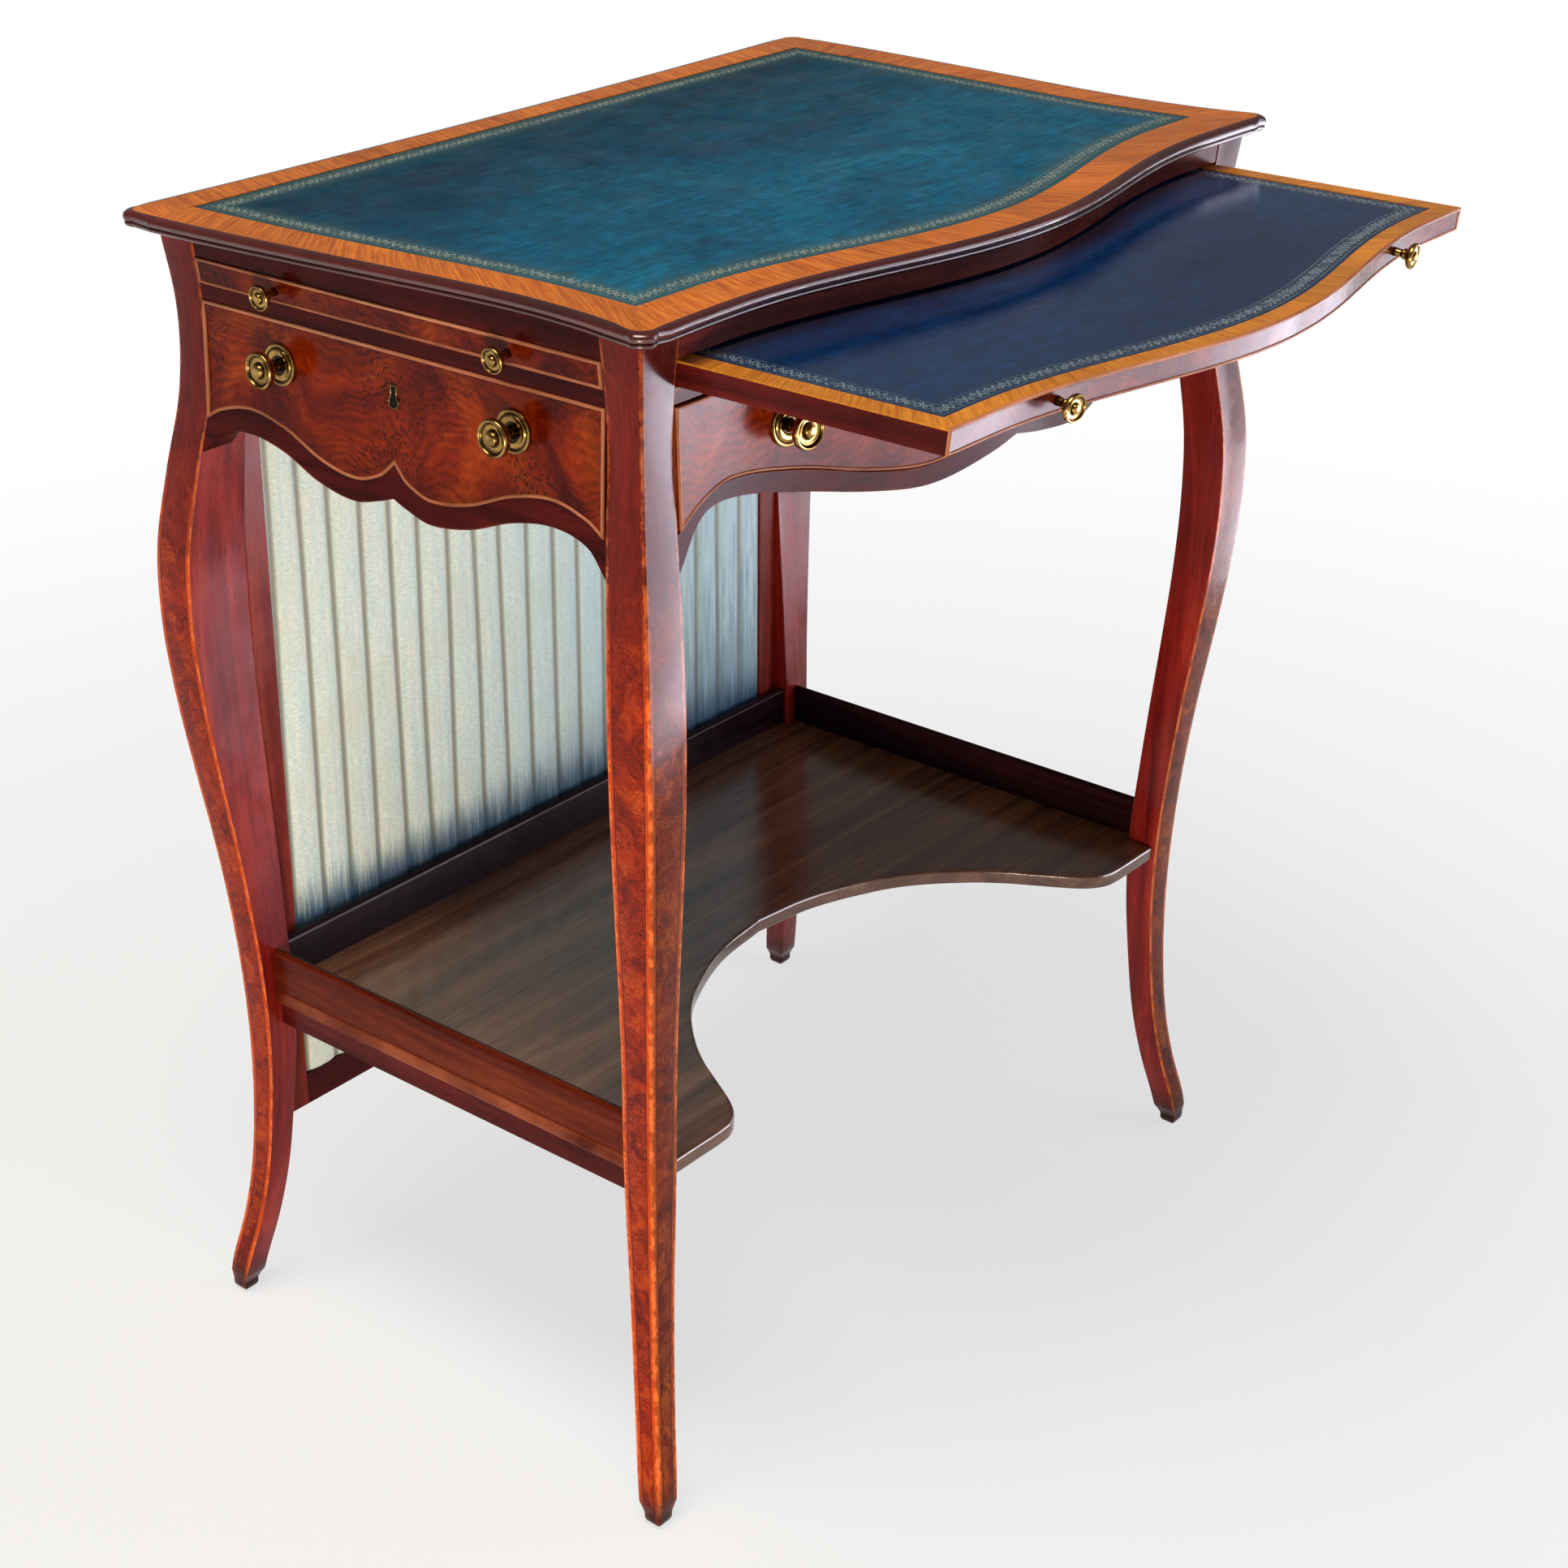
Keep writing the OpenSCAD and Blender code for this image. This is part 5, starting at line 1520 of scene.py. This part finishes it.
@dataclass
class Screen(Assembly):
    """Rising screen: a frame lined with pleated silk, under the strip of the top that lifts with it."""

    body: str = "screen"
    y: float = 170.0
    thick: float = 7.6
    half: float = 243.0
    stile_out: float = 260.6
    bottom: float = 131.0
    silk_low: float = 154.0
    cap_z: float = 751.3
    top_rail: float = 24.0
    tongue: tuple[float, float, float, float] = (5.0, 172.1, 175.5, 152.0)
    pleats: int = 19
    pleat_depth: float = 2.2
    pleat_x: float = 9.0
    hang: float = 1.35
    cloth: float = 0.7

    @staticmethod
    def block(shell: Shell, low: Sequence[float], high: Sequence[float]) -> Shell:
        """Adds a rectangular member between two corners."""
        a, b = np.minimum(low, high), np.maximum(low, high)
        x, z = np.meshgrid([a[0], b[0]], [a[2], b[2]], indexing="ij")
        front, back = (np.dstack([x, np.full(x.shape, y), z]) for y in (a[1], b[1]))
        return shell.slab(front, back)

    def silk(self) -> None:
        """Makes the pleated silk.

        Across the width the cloth lies forward in broad ridges and goes back at each fold by the depth
        times a high power of the cosine; the folds wander a little with the height, and fine ripples run
        down between them.
        """
        x = np.linspace(-self.half, self.half, self.pleats * 18 + 1)[:, None]
        z = np.linspace(self.silk_low, self.cap_z - self.top_rail, 40)[None]
        seed = np.floor((x + self.pleat_x) * self.pleats / (2 * self.half) + 0.5)
        wander = 0.9 * np.sin(z / 130 + seed * 2.1) + 0.5 * np.sin(z / 55 + seed * 1.3)
        turn = np.pi * (x + self.pleat_x + wander) * self.pleats / (2 * self.half)
        fold = np.abs(np.cos(turn)) ** 9
        ripple = 0.16 * np.sin(x * 1.55 + 0.6 * np.sin(z / 90)) + 0.1 * np.sin(x * 0.83 + z / 210)
        pleat = self.pleat_depth * 0.9 * (0.25 * np.cos(turn) ** 2 + 0.75 * fold)
        y = self.y + self.hang + pleat + ripple * (1 - fold)
        front, flat = joined(x, y, z), joined(x, z, fold / MM, z - self.silk_low) * MM
        shell = Shell().slab(front, front + np.array([0, self.cloth, 0]), flat)
        piece = self.piece(shell, "pleated_silk", self.fin.pleated_silk, "screen_silk", "silk", 70)

    def strip(self) -> None:
        """Makes the banding and the moulding of the strip of the top that lifts with the screen."""
        top = Top(self.fin, self.body)
        _, _, bx, by = top.ears()
        side = float(FORM.side_edge(FORM.seam_y))
        x = np.linspace(bx - 9, 9 - bx, 90)
        one, two = arc(bx, by, top.ear, 0, 90, 17), arc(-bx, by, top.ear, 90, 180, 17)
        edge = np.stack([x, FORM.back_edge(x)], -1)
        path = np.vstack([[[side, self.y]], one, edge, two, [[-side, self.y]]])
        inner = np.stack([np.clip(path[:, 0], -side, side), np.full(len(path), self.y)], -1)
        t = np.linspace(0, 1, 5)[:, None, None]
        plan = path * (1 - t) + inner * t
        face, under = raised(plan, FORM.table_h), raised(plan, FORM.table_h - top.veneer)
        band = Shell().slab(face, under, plan * MM * np.array([1.0, -1.0]))
        self.piece(band, "rising_strip_banding", self.fin.top_banding, "cap_crossband", "banding")
        marks = [1, 17, 18 + len(x), 34 + len(x)]
        top.moulding(path, marks, 0, len(path) - 1, "back_moulded_edge", "cap_moulding")

    def build(self) -> None:
        """Makes the frame, the silk and the strip of the top."""
        back = self.y + self.thick
        deep, y0, y1, low = self.tongue
        stiles = Shell()
        for s in (-1, 1):
            inner, outer = s * (self.stile_out - 1), s * (self.stile_out + deep)
            self.block(stiles, (s * self.half, self.y, self.bottom), (s * self.stile_out, back, self.cap_z))
            self.block(stiles, (inner, y0, low), (outer, y1, self.cap_z))
        self.piece(stiles, "screen_uprights", self.fin.screen_frame, "screen_stiles", "dark_wood", bevel=0.5)
        for name, node, z0, z1 in (
            ("screen_lower_rail", "screen_bottom_rail", self.bottom, self.silk_low),
            ("screen_upper_rail", "screen_top_rail", self.cap_z - self.top_rail, self.cap_z),
        ):
            rail = self.block(Shell(), (-self.half, self.y, z0), (self.half, back, z1))
            self.piece(rail, name, self.fin.rail_dark, node, "dark_wood", bevel=0.5)
        self.silk()
        self.strip()


@dataclass(frozen=True)
class Turning:
    """Turned fitting.

    The profile is given as shares of the radius and of the reach, with a third number for how much dirt
    lies at a point. Its radius is multiplied by cosine and sine of the angle, and its height goes along the
    axis.
    """

    line: tuple[Point, ...]
    radius: float
    reach: float

    def add(self, shell: Shell, place: Array, axes: Array) -> None:
        """Adds the fitting at a place, with rows of two axes across and one outwards."""
        line = np.array(self.line)
        t = np.linspace(0, len(line) - 1, 3 * len(line) - 2)
        r, h, dirt = (np.interp(t, np.arange(len(line)), line[:, k])[:, None] for k in (0, 1, 2))
        r, h = r * self.radius, h * self.reach
        a = np.linspace(0, 2 * np.pi, 49)
        flat = joined(a * self.radius * MM, (h + r) * MM, dirt, 0)
        shell.patch(place + joined(r * np.cos(a), r * np.sin(a), h) @ axes, flat)


@dataclass(frozen=True)
class Keyhole:
    """Escutcheon: a round-topped keyhole outline with a raised rim, and a near-black plug in the hole,
    painted shadow for its depth.
    """

    head: float = 3.2
    neck: float = 1.7
    foot: float = 6.0
    rim: tuple[tuple[float, float], ...] = (
        (1, 0), (1, 0.45), (0.8, 0.68), (0.5, 0.75), (0.2, 0.68), (0, 0.45), (0, 0), (1, 0)
    )

    def outline(self, d: float, h: float) -> Array:
        """Outline of the hole, set outwards by d and raised to h."""
        r, half = self.head + d, self.neck + d
        drop = math.degrees(math.acos(half / r))
        shoulder, sill = -2, -self.foot - d
        head = arc(0, self.head, r, -drop, 180 + drop, 25)
        line = np.vstack([head, [[-half, shoulder], [-half, sill], [half, sill], [half, shoulder]]])
        return np.column_stack([line, np.full(len(line), h)])

    def add(self, shell: Shell, place: Array, axes: Array) -> None:
        """Adds the escutcheon at a place, with rows of two axes across and one outwards."""
        ring = np.stack([self.outline(d, h) for d, h in self.rim])
        ring = np.concatenate([ring, ring[:, :1]], 1)
        shell.patch(place + ring @ axes, joined(ring[..., 0] * MM, ring[..., 1] * MM, 0.6, 0))
        # Painted shadow: a near-black plug stands in the hole, since the panel behind is not cut.
        hole = np.stack([self.outline(0.02, h) for h in (0.02, 0.2)])
        hole = place + np.concatenate([hole, hole[:, :1]], 1) @ axes
        shell.patch(hole, hole[..., :2] * MM, 1).cap(hole[0, :-1][::-1], slot=1).cap(hole[1, :-1], slot=1)


@dataclass
class Fittings(Assembly):
    """Turned brass knobs, their plates and the keyhole escutcheons."""

    knob_line: tuple[Point, ...] = (
        (0, 0, 0), (0.34, 0, 1), (0.31, 0.15, 0.4), (0.30, 0.3, 0.2), (0.34, 0.37, 0.6), (0.42, 0.41, 0),
        (0.43, 0.46, 0), (0.40, 0.5, 1), (0.55, 0.56, 0.4), (0.8, 0.64, 0.1), (0.94, 0.7, 0), (1.0, 0.77, 0),
        (1.0, 0.84, 0), (0.97, 0.9, 0), (0.91, 0.93, 0), (0.85, 0.92, 0), (0.8, 0.88, 0.5), (0.74, 0.85, 1),
        (0.68, 0.845, 0.4), (0.6, 0.83, 0), (0.5, 0.825, 0.1), (0.4, 0.85, 1), (0.36, 0.9, 0.3),
        (0.32, 0.95, 0), (0.24, 0.98, 0), (0.12, 1.0, 0), (0, 1.0, 0),
    )
    plate_line: tuple[Point, ...] = (
        (0.32, 0, 0), (1.0, 0, 1), (1.0, 0.4, 0), (0.985, 0.62, 0), (0.93, 0.75, 0), (0.87, 0.66, 0.3),
        (0.82, 0.42, 1), (0.77, 0.5, 0.6), (0.72, 0.8, 0), (0.62, 0.94, 0), (0.5, 0.8, 0.2), (0.42, 0.6, 1),
        (0.36, 0.7, 0.8), (0.32, 0.7, 1), (0.32, 0, 1),
    )

    @staticmethod
    def axes(face: Face, s: float, z: float, out: float) -> tuple[Array, Array]:
        """Place and axes of a fitting, whose normal stands square to the face.

        Args:
            face: The face it is on.
            s: Place along the face.
            z: Height.
            out: How far its foot stands out.

        Returns:
            The place, and rows of two axes across and one outwards.
        """
        at = lambda a, b, c=out: np.array([float(v) for v in face(np.array(a), np.array(b), c)])
        across, up = at(s + 1.0, z) - at(s - 1.0, z), at(s, z + 1.0) - at(s, z - 1.0)
        normal = np.cross(across, up)
        normal = normal * np.sign(normal @ (at(s, z, out + 1) - at(s, z, out))) / np.linalg.norm(normal)
        across = across / np.linalg.norm(across)
        return at(s, z), np.stack([across, np.cross(normal, across), normal])

    def build(self) -> None:
        """Makes all the fittings, those of a kind that move together as one piece."""
        knob, plate = Turning(self.knob_line, 11.0, 20.0), Turning(self.plate_line, 12.5, 2.4)
        small, keyhole = Turning(self.knob_line, 7.75, 14.0), Keyhole()
        ends, front = (at_right, at_left), (at_front,)
        for body, name, node, kind, faces, apart, z, out in (
            ("table", "end_drawer_knobs", "side_drawer_knobs", knob, ends, 92, 683, 0.5),
            ("table", "end_drawer_backplates", "side_drawer_plates", plate, ends, 92, 683, 0.9),
            ("table", "end_slide_knobs", "side_slide_knobs", small, ends, 91, 726.5, 0.6),
            ("table", "end_keyholes", "side_escutcheons", keyhole, ends, 0, 683, 0.6),
            ("slide", "front_slide_knobs", "slide_knobs", small, front, 175, 726.5, 0.5),
            ("drawer", "front_drawer_knobs", "drawer_knobs", knob, front, 175, 677, 0.9),
            ("drawer", "front_drawer_backplates", "drawer_plates", plate, front, 175, 677, 0.9),
            ("drawer", "front_keyhole", "drawer_escutcheon", keyhole, front, 0, 677, 0.6),
        ):
            self.body = body
            drawn = np.array([0, FORM.slide_out if body == "slide" else 0, 0])
            shell = Shell()
            for face in faces:
                for s in (-apart, apart) if apart else (0.0,):
                    place, axes = self.axes(face, s, z, out)
                    kind.add(shell, place - drawn, axes)
            self.piece(shell, name, (self.fin.old_brass, self.fin.keyhole_dark), node, "brass", 40)


@dataclass
class Carcass(Assembly):
    """Plain inner members that keep their construction shape and get a finish."""

    def build(self) -> None:
        """Dresses the nodes that no finer piece stands for."""
        fin = self.fin
        for finish, nodes in (
            (fin.board_dark, ("top_board", "screen_cap")),
            (fin.rail_dark, ("back_rail",)),
            (fin.slide_side, ("shelf_rails",)),
            (fin.drawer_lining, ("slide_runners", "slide_kickers", "drawer_runners")),
            (fin.drawer_lining, ("drawer_sides", "drawer_back_board", "drawer_bottom")),
        ):
            for node in nodes:
                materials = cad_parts[node].data.materials
                materials.clear()
                materials.append(finish)
                log.info("%s keeps its shape, finished as %s", node, finish.name)


# Studio


def stand(name: str, data: bpy.types.ID, axes: Array, place: Sequence[float]) -> bpy.types.Object:
    """Puts a camera or a lamp in the scene, with its right, up and back axes in the columns of axes."""
    thing = bpy.data.objects.new(name, data)
    matrix = np.eye(4)
    matrix[:3, :3], matrix[:3, 3] = axes, place
    thing.matrix_world = Matrix(matrix.tolist())
    bpy.context.scene.collection.objects.link(thing)
    return thing


@dataclass(frozen=True)
class Camera:
    """Camera at the photograph's place."""

    place: Point = (-1.33706, -1.10899, 1.18580)
    azimuth: float = -48.82
    elevation: float = 25.69
    roll: float = -0.69
    lens: float = 65.845
    shift: tuple[float, float] = (0.0790, -0.0125)

    def build(self) -> None:
        """Makes the camera: backwards, right and up axes from the azimuth, the elevation and the roll."""
        a, e, r = (math.radians(v) for v in (self.azimuth, self.elevation, self.roll))
        back = np.array([math.sin(a) * math.cos(e), -math.cos(a) * math.cos(e), math.sin(e)])
        right = np.array([math.cos(a), math.sin(a), 0.0])
        up = np.cross(back, right)
        rolled = math.cos(r) * right + math.sin(r) * up, math.cos(r) * up - math.sin(r) * right
        axes = np.stack([*rolled, back], 1)
        data = bpy.data.cameras.new("camera")
        data.lens, data.sensor_width, data.sensor_fit = self.lens, 36.0, "HORIZONTAL"
        data.shift_x, data.shift_y = self.shift
        data.clip_start, data.clip_end = 0.05, 50.0
        bpy.context.scene.camera = stand("camera", data, axes, self.place)


class Reach(Enum):
    """Whether a lamp shows on matt surfaces, and whether on polished ones."""

    ALL = (True, True)
    MATT = (True, False)
    POLISH = (False, True)


@dataclass(frozen=True)
class Lamp:
    """Soft rectangular lamp."""

    name: str
    place: Point
    aim: Point
    size: tuple[float, float]
    power: float
    colour: Colour
    reach: Reach = Reach.ALL

    def build(self) -> None:
        """Makes the lamp, turned to its aim."""
        back = np.subtract(self.place, self.aim)
        back /= np.linalg.norm(back)
        right = np.cross((0, 0, 1), back)
        right /= np.linalg.norm(right)
        data = bpy.data.lights.new(self.name, "AREA")
        data.shape, data.size, data.size_y = "RECTANGLE", *self.size
        data.energy, data.color = self.power, srgb(*self.colour)[:3]
        lamp = stand(self.name, data, np.stack([right, np.cross(back, right), back], 1), self.place)
        lamp.visible_camera = False
        lamp.visible_diffuse, lamp.visible_glossy = self.reach.value


@dataclass(frozen=True)
class Studio:
    """Pale floor, soft lamps, and surroundings that look white and reflect darker overhead than low down."""

    floor_half: float = 14.0
    horizon: float = 0.95
    ceiling: float = 0.16
    dusk: tuple[float, float] = (0.0, 0.16)
    lamps: tuple[Lamp, ...] = (
        Lamp("key", (-0.85, -0.2, 2.85), (0, 0, 0.55), (1.4, 1.1), 50, (255, 244, 228)),
        Lamp("low", (-1.75, -1.15, 0.1), (0, 0, 0.45), (0.34, 0.26), 22, (255, 240, 218)),
        Lamp("window", (1.2, -1.5, 0.7), (0, 0, 0.5), (0.9, 1.0), 11, (196, 220, 255), Reach.MATT),
        Lamp("panes", (0.627, -1.002, 0.38), (0, 0, 0.38), (0.92, 0.76), 30, PANE, Reach.POLISH),
        Lamp("high_panes", (0.66, -0.98, 1.14), (0, 0, 1.0), (1.0, 0.7), 6, PANE, Reach.POLISH),
        Lamp("side_panes", (1.75, -0.95, 0.36), (0.2, 0, 0.5), (1.2, 0.7), 7, PANE, Reach.POLISH),
        Lamp("ground_panes", (1.2, -0.765, 0.02), (1.12, -0.71, 1), (1.5, 0.97), 28, LOW_PANE, Reach.POLISH),
    )

    def surroundings(self) -> None:
        """Makes the world: white to the camera, else fading from the horizon's strength to the ceiling's."""
        world = bpy.data.worlds.new("surroundings")
        bpy.context.scene.world = world
        g = Graph(world)
        height = g.part(g.add("TexCoord", out="Generated"), "Z")
        fade = g.span(height, *self.dusk, self.horizon, self.ceiling)
        background = g.tree.nodes["Background"]
        g.feed(background.inputs["Color"], (255, 255, 255))
        strength = g.math("MAXIMUM", fade, g.add("LightPath", out="Is Camera Ray"))
        g.feed(background.inputs["Strength"], strength)

    def build(self, floor_finish: bpy.types.Material) -> None:
        """Makes the floor, the surroundings and the lamps."""
        h = self.floor_half
        mesh = bpy.data.meshes.new("floor")
        mesh.from_pydata([(-h, -h, 0), (h, -h, 0), (h, h, 0), (-h, h, 0)], [], [(0, 1, 2, 3)])
        mesh.materials.append(floor_finish)
        floor = bpy.data.objects.new("floor", mesh)
        bpy.context.scene.collection.objects.link(floor)
        self.surroundings()
        for lamp in self.lamps:
            lamp.build()
        bpy.context.scene.view_settings.view_transform = "Standard"


def main() -> None:
    """Builds the camera, the table and the studio in order."""
    logging.basicConfig(level=logging.INFO, format="%(name)s: %(message)s")
    Camera().build()
    fin = SimpleNamespace(**{finish.name: finish.make() for finish in FINISHES})
    for assembly in (Carcass, Legs, Top, Frieze, Undertier, Slide, Drawer, Screen, Fittings):
        log.info("building %s", assembly.__name__.lower())
        assembly(fin).build()
    Studio().build(fin.pale_floor)


if __name__ == "__main__":
    main()
